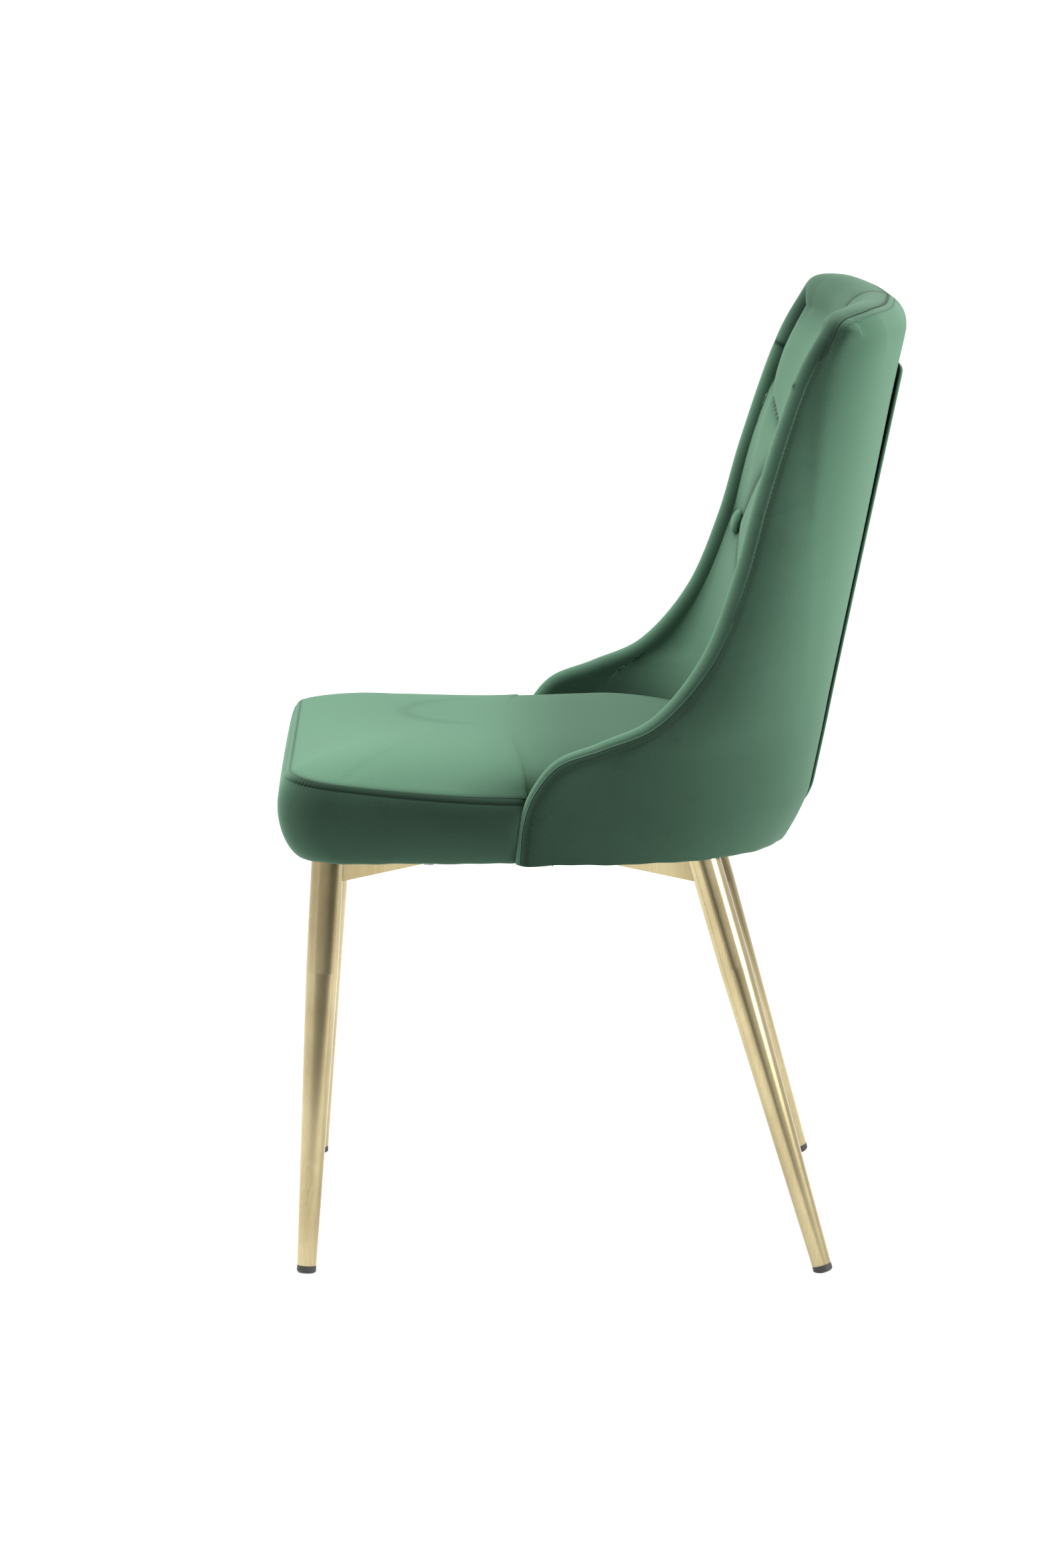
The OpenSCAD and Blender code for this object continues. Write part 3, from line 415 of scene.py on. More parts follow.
# Weights of painted shade on the tufted cover
tuftPaint = {
    "pleat": 0.8, "pleatLine": 1.8 * mm, "valley": 0.12, "valleyRun": 12 * mm, "field": 0.15,
    "crest": 0.5, "crestFrom": 860 * mm, "crestFade": 60 * mm, "crestToField": 0.7,
    "seam": 0.3, "seamLine": 1.2 * mm, "button": 0.3, "buttonRun": 14 * mm,
}
rimRows, innerRows = 24, 150
keys = np.unique(np.concatenate([np.arange(0, 2, 0.04), np.arange(2, rimEnd, 0.05), [rimEnd]]))
e = keys[:, None]
seamTurn = seamAngle(e)
onRim = (seamTurn > 0)[..., None]
overRim = rimPoint(np.broadcast_to(e, (len(keys), rimRows)), mix(seamTurn, 180, np.linspace(0, 1, rimRows)))
seamPoint = np.where(onRim, overRim[:, :1], rib(-1, e, seamShare(e), hemZ))
innerSize = (len(keys), innerRows)
downInside = rib(1, np.broadcast_to(e, innerSize),
                 np.broadcast_to(np.linspace(0, 1, innerRows + 1)[None, 1:], innerSize), tufts["foot"])
innerGrid = mirrored(np.concatenate([seamPoint, overRim, downInside], axis=1))
innerColumns, innerRowsAll = innerGrid.shape[:2]
keysAll = np.concatenate([keys, keys[-2::-1]])
belowRim = ease((np.arange(innerRowsAll) - rimRows) / tufts["fadeRows"])
pastWing = mix(tufts["wingShare"], 1, ease((keysAll - tufts["wingKey"]) / tufts["keyFade"]))
innerGrid = evenOut(innerGrid, tufts["smoothPasses"], belowRim * pastWing[:, None])
innerFaces = gridFaces(innerColumns, innerRowsAll, flip=True)
innerTree = BVHTree.FromPolygons([Vector(p) for p in innerGrid.reshape(-1, 3)], innerFaces)


def onInner(x, z):
    hit = innerTree.ray_cast(Vector((x, -0.2, z)), Vector((0, 1, 0)))[0]
    return None if hit is None else np.array(hit)


# A pleat between two places (x, z), bowed up by a height
def pleatLine(a, b, bow=0.0):
    spots = [onInner(mix(a[0], b[0], t), mix(a[1], b[1], t) + 4 * bow * t * (1 - t))
             for t in np.linspace(0, 1, 31)]
    return np.array([p for p in spots if p is not None])


def distanceTo(points, line):
    best = np.full(len(points), 9.0)
    for a, b in zip(line[:-1], line[1:]):
        d = b - a
        t = np.clip(((points - a) @ d) / max(d @ d, 1e-12), 0, 1)
        best = np.minimum(best, np.linalg.norm(points - (a + t[:, None] * d), axis=1))
    return best


# Pleats run from button to button, to the seat, and over the rim at the crest and at the top corners
upper, side, lower = tufts["upper"], tufts["side"], tufts["lower"]
crestEnd, seatEnd, cornerKey = (0, 925 * mm), (0, 490 * mm), 9.05
pleats = [pleatLine(crestEnd, upper), pleatLine(lower, seatEnd),
          rimPoint(np.full(6, float(rimEnd)), [180, 150, 120, 90, 75, 64])]
for s in (1, -1):
    spot = (s * side[0], side[1])
    cornerEnd, wingEdge = (s * 171 * mm, 838 * mm), (s * 186 * mm, 694 * mm)
    pleats += [pleatLine(upper, cornerEnd, -5 * mm), pleatLine(upper, spot, 8 * mm),
               pleatLine(spot, wingEdge), pleatLine(spot, lower, -8 * mm),
               rimPoint(np.full(7, cornerKey), [180, 160, 140, 120, 100, 80, 60]) * [s, 1, 1]]
flat = innerGrid.reshape(-1, 3)
fromPleat = np.min([distanceTo(flat, line) for line in pleats], axis=0).reshape(innerColumns, innerRowsAll)
buttonSpots = {"upper": onInner(*upper), "left": onInner(*side), "right": onInner(-side[0], side[1]),
               "lower": onInner(*lower)}
fromButton = np.min([np.linalg.norm(flat - p, axis=1) for p in buttonSpots.values()], axis=0)
fromButton = fromButton.reshape(innerColumns, innerRowsAll)
fromSeam = alongRows(innerGrid)
fromRim = fromSeam - fromSeam[:, rimRows:rimRows + 1]
onWing = 1 - ease((innerGrid[..., 2] - tufts["wingTop"]) / tufts["wingFade"])
rise = ease((fromRim + tufts["rimStart"]) / mix(tufts["rimRun"], tufts["wingRun"], onWing))
above = np.clip((innerGrid[..., 2] - tufts["seatLine"]) / tufts["seatRun"], 0, 1)
plump = (tufts["plump"] * (1 - tufts["wingFlat"] * onWing)
         * (1 - tufts["buttonFlat"] * bell(fromButton, tufts["buttonRun"])))
swell = plump * rise * np.sqrt(above) * (1 - np.exp(-fromPleat / tufts["spread"]))
rimSwell = (tufts["bandSwell"] * (1 - rise) * ease((fromRim + tufts["bandRun"]) / tufts["bandFade"])
            * (1 - np.exp(-fromPleat / tufts["bandGather"])))
sink = (tufts["dimple"] * bell(fromButton, tufts["dimpleRun"])
        + tufts["pleatDepth"] * above * rise * np.exp(-fromPleat / tufts["pleatWidth"])
        + tufts["seamDip"] * bell(fromSeam, tufts["seamWidth"]))
innerGrid = innerGrid + gridNormals(innerGrid, (0, -1, 0)) * (swell + rimSwell - sink)[..., None]
innerCover = makePiece("tufted_inner_cover", innerGrid.reshape(-1, 3), innerFaces, greenVelvet)
# Painted shade: darker in the pleats and the valleys beside them, over the padded fields, towards the crest,
# along the seam and round the buttons
shades = tuftPaint
towardsCrest = (ease((innerGrid[..., 2] - shades["crestFrom"]) / shades["crestFade"])
                * (1 - shades["crestToField"] * rise))
paint(innerCover, shades["pleat"] * np.exp(-fromPleat / shades["pleatLine"]) * np.clip(above + 0.2, 0, 1)
      + shades["valley"] * np.exp(-fromPleat / shades["valleyRun"]) * above + shades["field"] * rise
      + shades["crest"] * towardsCrest + shades["seam"] * bell(fromSeam, shades["seamLine"])
      + shades["button"] * bell(fromButton, shades["buttonRun"]))
thicken(innerCover, cloth)
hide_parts("back_inner_cover", "back_foam")
print("tufted inner cover:", innerColumns, "by", innerRowsAll)

# Outer cover: one stretched piece of velvet over thin wadding, from the seam to the hem under the seat
outer = {
    "rows": 90, "arcRows": 10, "rowGap": 8.5 * mm, "seamDip": 0.8 * mm, "seamWidth": 1.8 * mm,
    "rowDip": 0.25 * mm, "rowWidth": 1.5 * mm, "hemWave": 1.1 * mm, "hemFade": 9 * mm,
    "hemInsets": np.array([1, 4, 9, 18]) * mm, "smoothPasses": 70, "fadeRows": 6,
}
outerPaint = {
    "seam": 0.3, "seamLine": 1.2 * mm, "row": 0.15, "rowLine": 1.0 * mm, "band": 0.3, "bandRun": 26 * mm,
    "foot": 0.33, "footRun": 300 * mm,
}
arcSteps = np.linspace(0, 1, outer["arcRows"])
arcDown = rimPoint(np.broadcast_to(e, (len(keys), outer["arcRows"])), mix(seamTurn, 0, arcSteps))
outerSize = (len(keys), outer["rows"])
downOutside = rib(-1, np.broadcast_to(e, outerSize),
                  mix(seamShare(e), 1, np.linspace(0, 1, outer["rows"] + 1)[None, 1:]), hemZ)
firstOutside = rib(-1, e, seamShare(e), hemZ)
arcPart = np.where(onRim, arcDown, mix(firstOutside, downOutside[:, :1], 0.9 * arcSteps[:, None]))
_, footOut = outerAt(np.radians(90) * np.maximum(keys, 0.25) / rimEnd, np.full(len(keys), hemZ))
hem = downOutside[:, -1:] - footOut[:, None, :] * outer["hemInsets"][None, :, None]
hemRow = -1 - len(outer["hemInsets"])
outerGrid = mirrored(np.concatenate([arcPart, downOutside, hem], axis=1))
outerColumns, outerRowsAll = outerGrid.shape[:2]
outerGrid = evenOut(outerGrid, outer["smoothPasses"],
                    ease((np.arange(outerRowsAll) - outer["arcRows"]) / outer["fadeRows"]))
outNormals = gridNormals(outerGrid, (0, 1, 0))
fromOuterSeam = alongRows(outerGrid)
toHem = fromOuterSeam[:, hemRow, None] - fromOuterSeam
dips = (outer["seamDip"] * bell(fromOuterSeam, outer["seamWidth"])
        + outer["rowDip"] * bell(fromOuterSeam - outer["rowGap"], outer["rowWidth"]))
onFace = np.arange(outerRowsAll) < outerRowsAll + hemRow
outerGrid = outerGrid - outNormals * (dips * onFace)[..., None]
footRun = alongColumns(outerGrid[:, hemRow])
wave = 0.5 + 0.3 * np.sin(footRun / (13 * mm)) + 0.2 * np.sin(footRun / (5.3 * mm) + 1)
outerGrid[..., 2] += (outer["hemWave"] * wave)[:, None] * np.exp(-np.maximum(toHem, 0) / outer["hemFade"])
outerCover = makePiece("outer_cover", outerGrid.reshape(-1, 3), gridFaces(outerColumns, outerRowsAll),
                       greenVelvet)
# Painted shade on the outer cover: along the seam and the stitch row, in a band below the seam that is also
# crushed pile, and darker towards the foot where less light falls
shades = outerPaint
paint(outerCover, shades["seam"] * bell(fromOuterSeam, shades["seamLine"])
      + shades["row"] * bell(fromOuterSeam - outer["rowGap"], shades["rowLine"])
      + shades["band"] * (1 - ease(fromOuterSeam / shades["bandRun"]))
      + shades["foot"] * (1 - ease((outerGrid[..., 2] - hemZ) / shades["footRun"])))
thicken(outerCover, cloth)
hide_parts("back_outer_cover", "back_wadding")
print("outer cover:", outerColumns, "by", outerRowsAll)

# Lockstitch, five millimetres a stitch, drawn into the velvet
stitch = {"pitch": 5 * mm, "length": 2.8 * mm, "radius": 0.42 * mm, "fineRadius": 0.3 * mm, "sides": 6}
# Shares of the length and of the radius, and depth in radii
stitchBody = [(0, 0.25, 0.8), (0.15, 0.8, 0.35), (0.5, 1, 0), (0.85, 0.8, 0.35), (1, 0.25, 0.8)]


def stitchRow(name, line, outward, radius=stitch["radius"]):
    lengths = np.concatenate([[0], np.cumsum(np.linalg.norm(np.diff(line, axis=0), axis=1))])

    def at(values, s):
        return np.array([np.interp(s, lengths, values[:, a]) for a in range(3)])

    vertices, faces, sides = [], [], stitch["sides"]
    for s in np.arange(stitch["pitch"] / 2, lengths[-1], stitch["pitch"]):
        a, b = at(line, s - stitch["length"] / 2), at(line, s + stitch["length"] / 2)
        out = unit(at(outward, s))
        sideways = unit(np.cross(unit(b - a), out))
        base = len(vertices)
        for t, r, depth in stitchBody:
            middle = mix(a, b, t) - out * radius * depth
            vertices += [middle + radius * r * (math.cos(turn) * out + math.sin(turn) * sideways)
                         for turn in np.radians(range(0, 360, 360 // sides))]
        for k in range(len(stitchBody) - 1):
            for i in range(sides):
                p, q = base + k * sides + i, base + k * sides + (i + 1) % sides
                faces.append((p, q, q + sides, p + sides))
        last = base + sides * (len(stitchBody) - 1)
        faces += [tuple(range(base + sides - 1, base - 1, -1)), tuple(range(last, last + sides))]
    return makePiece(name, vertices, faces, darkThread)


# The line on a grid at one distance from its first row, lifted off the surface
def lineAt(grid, normals, distances, reach, lift, ends):
    j = np.argmin(np.abs(distances - reach), axis=1)
    i = np.arange(ends, len(grid) - ends)
    return grid[i, j[i]] + lift * normals[i, j[i]], normals[i, j[i]]


stitchRow("rim_seam_stitches", *lineAt(outerGrid, outNormals, fromOuterSeam, 0.0, 0.3 * mm, 10))
stitchRow("rim_top_stitches", *lineAt(outerGrid, outNormals, fromOuterSeam, outer["rowGap"], 0.1 * mm, 10),
          radius=stitch["fineRadius"])
print("rim stitches done")

# Seat: a boxed cushion with a crowned top, tucked in between the wings
seat = {
    "half": 235 * mm, "front": 300 * mm, "footFront": 291 * mm, "corner": 46 * mm, "sideSeam": 475 * mm,
    "frontRise": 20 * mm, "seamPower": 1.6, "crown": 513 * mm, "crownPower": 4.2, "middle": -96 * mm,
    "frontBulge": 15 * mm, "frontBow": 1.5 * mm, "sideBulge": 9 * mm, "bulgePower": 0.7,
    "tubRim": 497 * mm, "tubRun": 70.5 * mm, "tubGap": 0.8 * mm, "seamDip": 1.2 * mm, "seamWidth": 1.6 * mm,
    "smoothPasses": 160, "smoothShare": 0.25,
}
# Weights of painted shade on the seat's top, and of the finger's arc in its pile
seatPaint = {
    "seam": 0.55, "seamLine": 1.3 * mm, "back": 0.42, "backFrom": -130 * mm, "backRun": 120 * mm,
    "edge": 0.3, "edgeRun": 26 * mm, "edgeFrom": -155 * mm, "edgeFade": 60 * mm,
    "arc": 0.16, "arcRadius": 78 * mm, "arcLine": 7 * mm, "arcMiddle": (-35 * mm, -93 * mm),
    "arcSquash": 0.8, "arcFrom": 100 * mm, "arcFade": 50 * mm,
}


def seamZ(y):
    reach = (-y + shell["wingFront"]) / (seat["front"] + shell["wingFront"])
    return seat["sideSeam"] + seat["frontRise"] * np.clip(reach, 0, 1) ** seat["seamPower"]


def wingEnd(z):
    return frontAt(z) - seat["tubGap"]


def frontLine(front, half, yEnd):
    r = seat["corner"]
    line = [(x, -front) for x in np.linspace(0, half - r, 30)[:-1]]
    line += [(half - r + r * math.cos(a), -front + r + r * math.sin(a))
             for a in np.radians(np.linspace(-90, 0, 56))]
    line += [(half, y) for y in mix(-front + r, yEnd, np.linspace(0, 1, 40)[1:] ** 0.8)]
    return np.array(line)


# Half the plan at a level from the hem, 0, to the seam, 1; tub adds the line inside the back
def seatRing(level, tub=True):
    z = mix(hemZ, seat["sideSeam"], level)
    bulge = float(power(4 * np.clip(level, 0, 1) * (1 - np.clip(level, 0, 1)), seat["bulgePower"]))
    half = seat["half"] + seat["sideBulge"] * bulge
    front = seat["front"] + seat["frontBulge"] * bulge - (1 - level) * (seat["front"] - seat["footFront"])
    line = frontLine(front, half, wingEnd(z))
    line[:, 1] -= seat["frontBow"] * bulge * (1 - (line[:, 0] / half) ** 2)
    if not tub:
        return line
    point, out = innerAt(np.radians(np.linspace(0, 90, 60)), np.full(60, z))
    tubLine = point[:, :2] - out[:, :2] * seat["tubGap"]
    return np.concatenate([line, [[tubLine[0, 0], wingEnd(z)]], tubLine])


def edgeZ(p):
    inTub = ease((p[..., 1] - wingEnd(seat["sideSeam"])) / seat["tubRun"])
    return mix(seamZ(p[..., 1]), seat["tubRim"], inTub)


halfSeam = seatRing(1.0)
seamRing = np.concatenate([halfSeam, halfSeam[-2:0:-1] * [-1, 1]])
seatMiddle = np.array([0, seat["middle"]])
topShares = np.concatenate([[1.0, 0.995, 0.985], np.linspace(0.97, 0.02, 42)])
topPlan = np.stack([mix(seatMiddle, seamRing, share) for share in topShares], axis=1)
edgeHeights = edgeZ(seamRing)
level = mix(seat["crown"], edgeHeights[:, None], topShares[None, :] ** seat["crownPower"])
inside = ease((1 - topShares) / seat["smoothShare"])
for _ in range(seat["smoothPasses"]):
    level += inside * (0.25 * np.roll(level, 1, axis=0) + 0.25 * np.roll(level, -1, axis=0) - 0.5 * level)
topGrid = np.concatenate([topPlan, level[..., None]], axis=2)
topColumns, topRows = topGrid.shape[:2]
fromEdge = alongRows(topGrid)
outsideTub = seamRing[:, None, 1] < wingEnd(seat["sideSeam"])
topGrid[..., 2] -= seat["seamDip"] * bell(fromEdge, seat["seamWidth"]) * outsideTub
topPoints = np.concatenate([topGrid.reshape(-1, 3), [topGrid[:, -1].mean(axis=0)]])
seatTop = makePiece("seat_top", topPoints, gridFaces(topColumns, topRows, closed=True)
                    + fanFaces(topColumns, topRows), paintedLitVelvet)
# A finger's arc in the pile; painted shade along the seam, towards the back and along the edges beside the
# back
shades = seatPaint
across, depth = topGrid[..., 0], topGrid[..., 1]
nap = np.hypot(across - shades["arcMiddle"][0], (depth - shades["arcMiddle"][1]) * shades["arcSquash"])
arcSide = ease((-(depth + shades["arcFrom"])) / shades["arcFade"])
seatShade = shades["seam"] * bell(fromEdge, shades["seamLine"])
seatShade += shades["arc"] * arcSide * bell(nap - shades["arcRadius"], shades["arcLine"])
seatShade += shades["back"] * ease((depth - shades["backFrom"]) / shades["backRun"])
seatShade += (shades["edge"] * bell(fromEdge, shades["edgeRun"])
              * ease((depth - shades["edgeFrom"]) / shades["edgeFade"]))
paint(seatTop, np.append(seatShade.ravel(), 0))
thicken(seatTop, cloth)
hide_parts("seat_top_cover", "seat_foam")

# Boxing: the strip round the seat's sides and front, top-stitched below its seam, puckered at the
# corners and tucked in behind the wings
boxing = {
    "tuckIn": 3.2 * mm, "tuckRun": 4 * mm, "tuckFrom": 150 * mm, "tuckFade": 60 * mm,
    "hemInsets": (18 * mm, 9 * mm, 3 * mm), "topStitch": 7.5 * mm, "seamDip": 1.0 * mm,
    "rowDip": 0.45 * mm, "dipWidth": 1.5 * mm, "pucker": 4.2 * mm, "puckerDepth": 0.35 * mm,
    "puckerStart": 2 * mm, "puckerFrom": 6 * mm, "puckerFade": 9 * mm,
    "cornerAcross": 222 * mm, "cornerForward": 290 * mm, "cornerWidth": 26 * mm, "cornerDepth": 34 * mm,
}
boxPaint = {
    "seam": 0.6, "seamLine": 1.6 * mm, "row": 0.3, "rowLine": 1.2 * mm, "side": 0.36, "sideFrom": 200 * mm,
    "sideFade": 30 * mm, "band": 0.3, "bandFrom": 6 * mm, "bandFade": 6 * mm, "pucker": 0.25,
}
boxLevels = np.concatenate([[0.0, 0.012, 0.03], np.linspace(0.06, 0.86, 26), np.linspace(0.88, 1, 14)])
boxEdge = edgeZ(seatRing(1.0, tub=False))
boxGrid = np.zeros((len(boxEdge), len(boxLevels), 3))
tableSteps = 200
ringTable = np.stack([seatRing(v, tub=False) for v in np.linspace(0, 1, tableSteps + 1)])
for j, v in enumerate(boxLevels):
    boxGrid[:, j, 2] = mix(hemZ, boxEdge, v)
    low = min(int(v * tableSteps), tableSteps - 1)
    boxGrid[:, j, :2] = mix(ringTable[low], ringTable[low + 1], v * tableSteps - low)
endRun = np.abs(boxGrid[:, :, 1] - wingEnd(boxGrid[:, :, 2]))
sideways = ease((boxGrid[:, :, 0] - boxing["tuckFrom"]) / boxing["tuckFade"])
boxGrid[:, :, 0] -= boxing["tuckIn"] * np.exp(-endRun / boxing["tuckRun"]) * sideways
hemRows = []
for inset in boxing["hemInsets"]:
    p = boxGrid[:, 0].copy()
    p[:, :2] -= unit(p[:, :2] + [0, 2 * seat["corner"]]) * inset
    hemRows.append(p)
boxGrid = np.concatenate([np.stack(hemRows, axis=1), boxGrid], axis=1)
boxGrid = np.concatenate([boxGrid[:0:-1] * [-1, 1, 1], boxGrid])
boxColumns, boxRows = boxGrid.shape[:2]
boxNormals = gridNormals(boxGrid, (0, -1, 0))
fromTop = alongRows(boxGrid[:, ::-1])[:, ::-1]
boxRun = alongColumns(boxGrid[:, -1])[:, None]
corner = (bell((np.abs(boxGrid[..., 0]) - boxing["cornerAcross"]), boxing["cornerWidth"])
          * bell(boxGrid[..., 1] + boxing["cornerForward"], boxing["cornerDepth"]))
puckers = (corner * np.sin(boxRun * 2 * math.pi / boxing["pucker"]) * ease(fromTop / boxing["puckerStart"])
           * (1 - ease((fromTop - boxing["puckerFrom"]) / boxing["puckerFade"])))
fromRow = fromTop - boxing["topStitch"]
tuck = (boxing["seamDip"] * bell(fromTop, boxing["dipWidth"])
        + boxing["rowDip"] * bell(fromRow, boxing["dipWidth"]))
boxGrid = boxGrid + boxNormals * (boxing["puckerDepth"] * puckers - tuck)[..., None]
boxWave = 0.5 + 0.3 * np.sin(boxRun / (15 * mm)) + 0.2 * np.sin(boxRun / (6.1 * mm) + 2)
overHem = np.maximum(boxGrid[..., 2] - hemZ, 0)
boxGrid[..., 2] += outer["hemWave"] * boxWave * np.exp(-overHem / outer["hemFade"])
seatBoxing = makePiece("seat_boxing", boxGrid.reshape(-1, 3), gridFaces(boxColumns, boxRows),
                       greenVelvet)
# Painted shade on the boxing: in the seam and the stitch row, on the sides, in a band under the seam that is
# also crushed pile, and in the puckers' hollows
shades = boxPaint
onSide = ease((np.abs(boxGrid[..., 0]) - shades["sideFrom"]) / shades["sideFade"])
boxShade = (shades["seam"] * bell(fromTop, shades["seamLine"])
            + shades["row"] * bell(fromRow, shades["rowLine"]))
boxShade += (shades["side"] * onSide
             + shades["band"] * (1 - ease((fromTop - shades["bandFrom"]) / shades["bandFade"])) * onSide
             + shades["pucker"] * np.maximum(-puckers, 0))
paint(seatBoxing, boxShade)
thicken(seatBoxing, cloth)
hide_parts("seat_boxing_cover")
stitchRow("seat_top_stitches", *lineAt(boxGrid, boxNormals, fromTop, boxing["topStitch"], 0.2 * mm, 0))
print("seat:", topColumns, "by", topRows, "and", boxColumns, "by", boxRows)

# Rear panel: velvet over a thin board that closes the back
panel = {
    "footWidth": 100 * mm, "topWidth": 110 * mm, "low": 434 * mm, "high": 868 * mm, "corner": 30 * mm,
    "grow": 1.5 * mm, "sunk": 0.4 * mm, "lift": 2.4 * mm, "edge": 1.0 * mm, "pillow": 0.3 * mm,
    "edgeShades": [0.8, 0.5],
}


# A place on the shell's rear face, moved out by a distance
def rearPoint(x, z, out):
    p = outerPower(rearAt(z) - frontAt(z) - shell["wingRadius"])
    point, n = outerAt(np.arccos(power(np.clip(np.abs(x) / halfAt(z), 0, 1), p / 2)), z)
    s = np.where(x < 0, -1, 1)
    return np.stack([s * (point[..., 0] + n[..., 0] * out), point[..., 1] + n[..., 1] * out, z], -1)


def panelLoop(grow):
    high, low, r = panel["high"] + grow, panel["low"] - grow, panel["corner"] + grow
    halfLow, halfHigh = panel["footWidth"] / 2 + grow, panel["topWidth"] / 2 + grow
    line = [(x, low) for x in np.linspace(0, halfLow - r, 24)[:-1]]
    line += [(halfLow - r + r * math.cos(a), low + r + r * math.sin(a))
             for a in np.radians(np.linspace(-90, 0, 17))]
    line += [(mix(halfLow, halfHigh, t), mix(low + r, high - r, t)) for t in np.linspace(0, 1, 70)[1:-1]]
    line += [(halfHigh - r + r * math.cos(a), high - r + r * math.sin(a))
             for a in np.radians(np.linspace(0, 90, 17))]
    line += [(x, high) for x in np.linspace(halfHigh - r, 0, 18)[1:]]
    line = np.array(line)
    return np.concatenate([line, line[-2:0:-1] * [-1, 1]])


loop = panelLoop(panel["grow"])
panelMiddle = np.array([0, (panel["low"] + panel["high"]) / 2])
rings = [rearPoint(loop[:, 0], loop[:, 1], panel["sunk"])]
for t in np.radians(np.linspace(0, 90, 7)):
    shrunk = loop - unit(loop - panelMiddle) * panel["edge"] * (1 - math.cos(t))
    rounded = mix(panel["lift"] - panel["edge"], panel["lift"], math.sin(t))
    rings.append(rearPoint(shrunk[:, 0], shrunk[:, 1], rounded))
for share in np.linspace(0.975, 0.03, 40):
    p = mix(panelMiddle, loop, share)
    rings.append(rearPoint(p[:, 0], p[:, 1], panel["lift"] + panel["pillow"] * (1 - share ** 2)))
panelGrid = np.stack(rings, axis=1)
panelColumns, panelRows = panelGrid.shape[:2]
panelPoints = np.concatenate([panelGrid.reshape(-1, 3), [panelGrid[:, -1].mean(axis=0)]])
rearPanel = makePiece("rear_panel", panelPoints, gridFaces(panelColumns, panelRows, closed=True, flip=True)
                      + fanFaces(panelColumns, panelRows, flip=True), greenVelvet)
# Painted shade: the panel's first two rings darken, as its edge in shadow
panelShade = np.zeros((panelColumns, panelRows))
panelShade[:, :2] = panel["edgeShades"]
paint(rearPanel, np.append(panelShade.ravel(), 0))
thicken(rearPanel, cloth)
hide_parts("rear_panel_cover")
print("rear panel done")

# Buttons: velvet gathered over a metal shell and sunk into the foam
button = {
    "radius": 13 * mm, "proud": 0.5 * mm, "around": 48, "gather": 0.012, "gathers": 9, "probe": 5 * mm,
}
# Shares of the radius, and millimetres out from the velvet
buttonProfile = [(0.55, -2.0), (0.9, -1.2), (1.0, 0.4), (0.99, 1.8), (0.93, 3.4), (0.82, 4.8), (0.66, 5.9),
                 (0.48, 6.6), (0.3, 6.9), (0.14, 7.0)]
# Painted shade round each button's foot, where it sinks into the cloth
buttonShade = [0.7, 0.6, 0.45, 0.15, 0, 0, 0, 0, 0, 0]
probe = button["probe"]
for place, (x, z) in {"upper": upper, "left": side, "right": (-side[0], side[1]), "lower": lower}.items():
    across = onInner(x + probe, z) - onInner(x - probe, z)
    out = unit(np.cross(across, onInner(x, z + probe) - onInner(x, z - probe)))
    out = out if out[1] < 0 else -out
    right = unit(np.cross(out, [0, 0, 1]))
    up = np.cross(right, out)
    turns = np.linspace(0, 2 * math.pi, button["around"] + 1)[:-1]
    circle = np.cos(turns)[:, None] * right + np.sin(turns)[:, None] * up
    vertices = []
    for r, height in buttonProfile:
        gathers = button["gather"] * np.sin(button["gathers"] * turns) * (r > 0.9)
        spread = button["radius"] * r * (1 + gathers)
        vertices.append(buttonSpots[place] + spread[:, None] * circle
                        + out * (height * mm + button["proud"]))
    vertices = np.stack(vertices, axis=1)
    rows = len(buttonProfile)
    faces = gridFaces(button["around"], rows, closed=True)
    faces += [tuple(k * rows for k in range(button["around"])),
              tuple(k * rows + rows - 1 for k in range(button["around"] - 1, -1, -1))]
    covered = makePiece("covered_button_" + place, vertices.reshape(-1, 3), faces, greenVelvet)
    paint(covered, np.tile(buttonShade, button["around"]))
    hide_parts("button_" + place)
print("buttons done")

# Steel tube, brass plated and brushed: fine streaks along the tube under a soft champagne shine
brassLook = {
    "light": "#b9ac87", "dark": "#9d8f6b", "streak": 0.7 * mm, "cloud": 90 * mm, "stretch": 0.012,
    "smooth": 0.17, "rough": 0.23, "scratch": 0.05 * mm,
}


def champagneMetal():
    material, tree = newMaterial("brushed champagne brass plate")
    where = addNode(tree, "ShaderNodeTexCoord").outputs["Object"]
    look = brassLook
    stretch = addNode(tree, "ShaderNodeMapping", {"Scale": (1, 1, look["stretch"])}, Vector=where)
    streaks = addNode(tree, "ShaderNodeTexNoise", {"Scale": 1 / look["streak"], "Detail": 2.0},
                      Vector=stretch.outputs[0])
    clouds = addNode(tree, "ShaderNodeTexNoise", {"Scale": 1 / look["cloud"], "Detail": 3.0}, Vector=where)
    both = addNode(tree, "ShaderNodeMath", {"operation": "MULTIPLY_ADD", 1: 0.45},
                   i0=streaks.outputs["Fac"], i2=clouds.outputs["Fac"])
    tone = addNode(tree, "ShaderNodeMapRange", {"From Min": 0.5, "From Max": 0.95}, Value=both.outputs[0])
    colour = addNode(tree, "ShaderNodeMix", {"data_type": "RGBA", 6: toLinear(look["light"]),
                                             7: toLinear(look["dark"])}, Factor=tone.outputs[0])
    rough = addNode(tree, "ShaderNodeMapRange", {"To Min": look["smooth"], "To Max": look["rough"]},
                    Value=streaks.outputs["Fac"])
    bump = addNode(tree, "ShaderNodeBump", {"Strength": 0.06, "Distance": look["scratch"]},
                   Height=streaks.outputs["Fac"])
    surface = addNode(tree, "ShaderNodeBsdfPrincipled", {"Metallic": 1.0},
                      **{"Base Color": colour.outputs[2], "Roughness": rough.outputs[0],
                         "Normal": bump.outputs[0]})
    addNode(tree, "ShaderNodeOutputMaterial", Surface=surface.outputs[0])
    return material


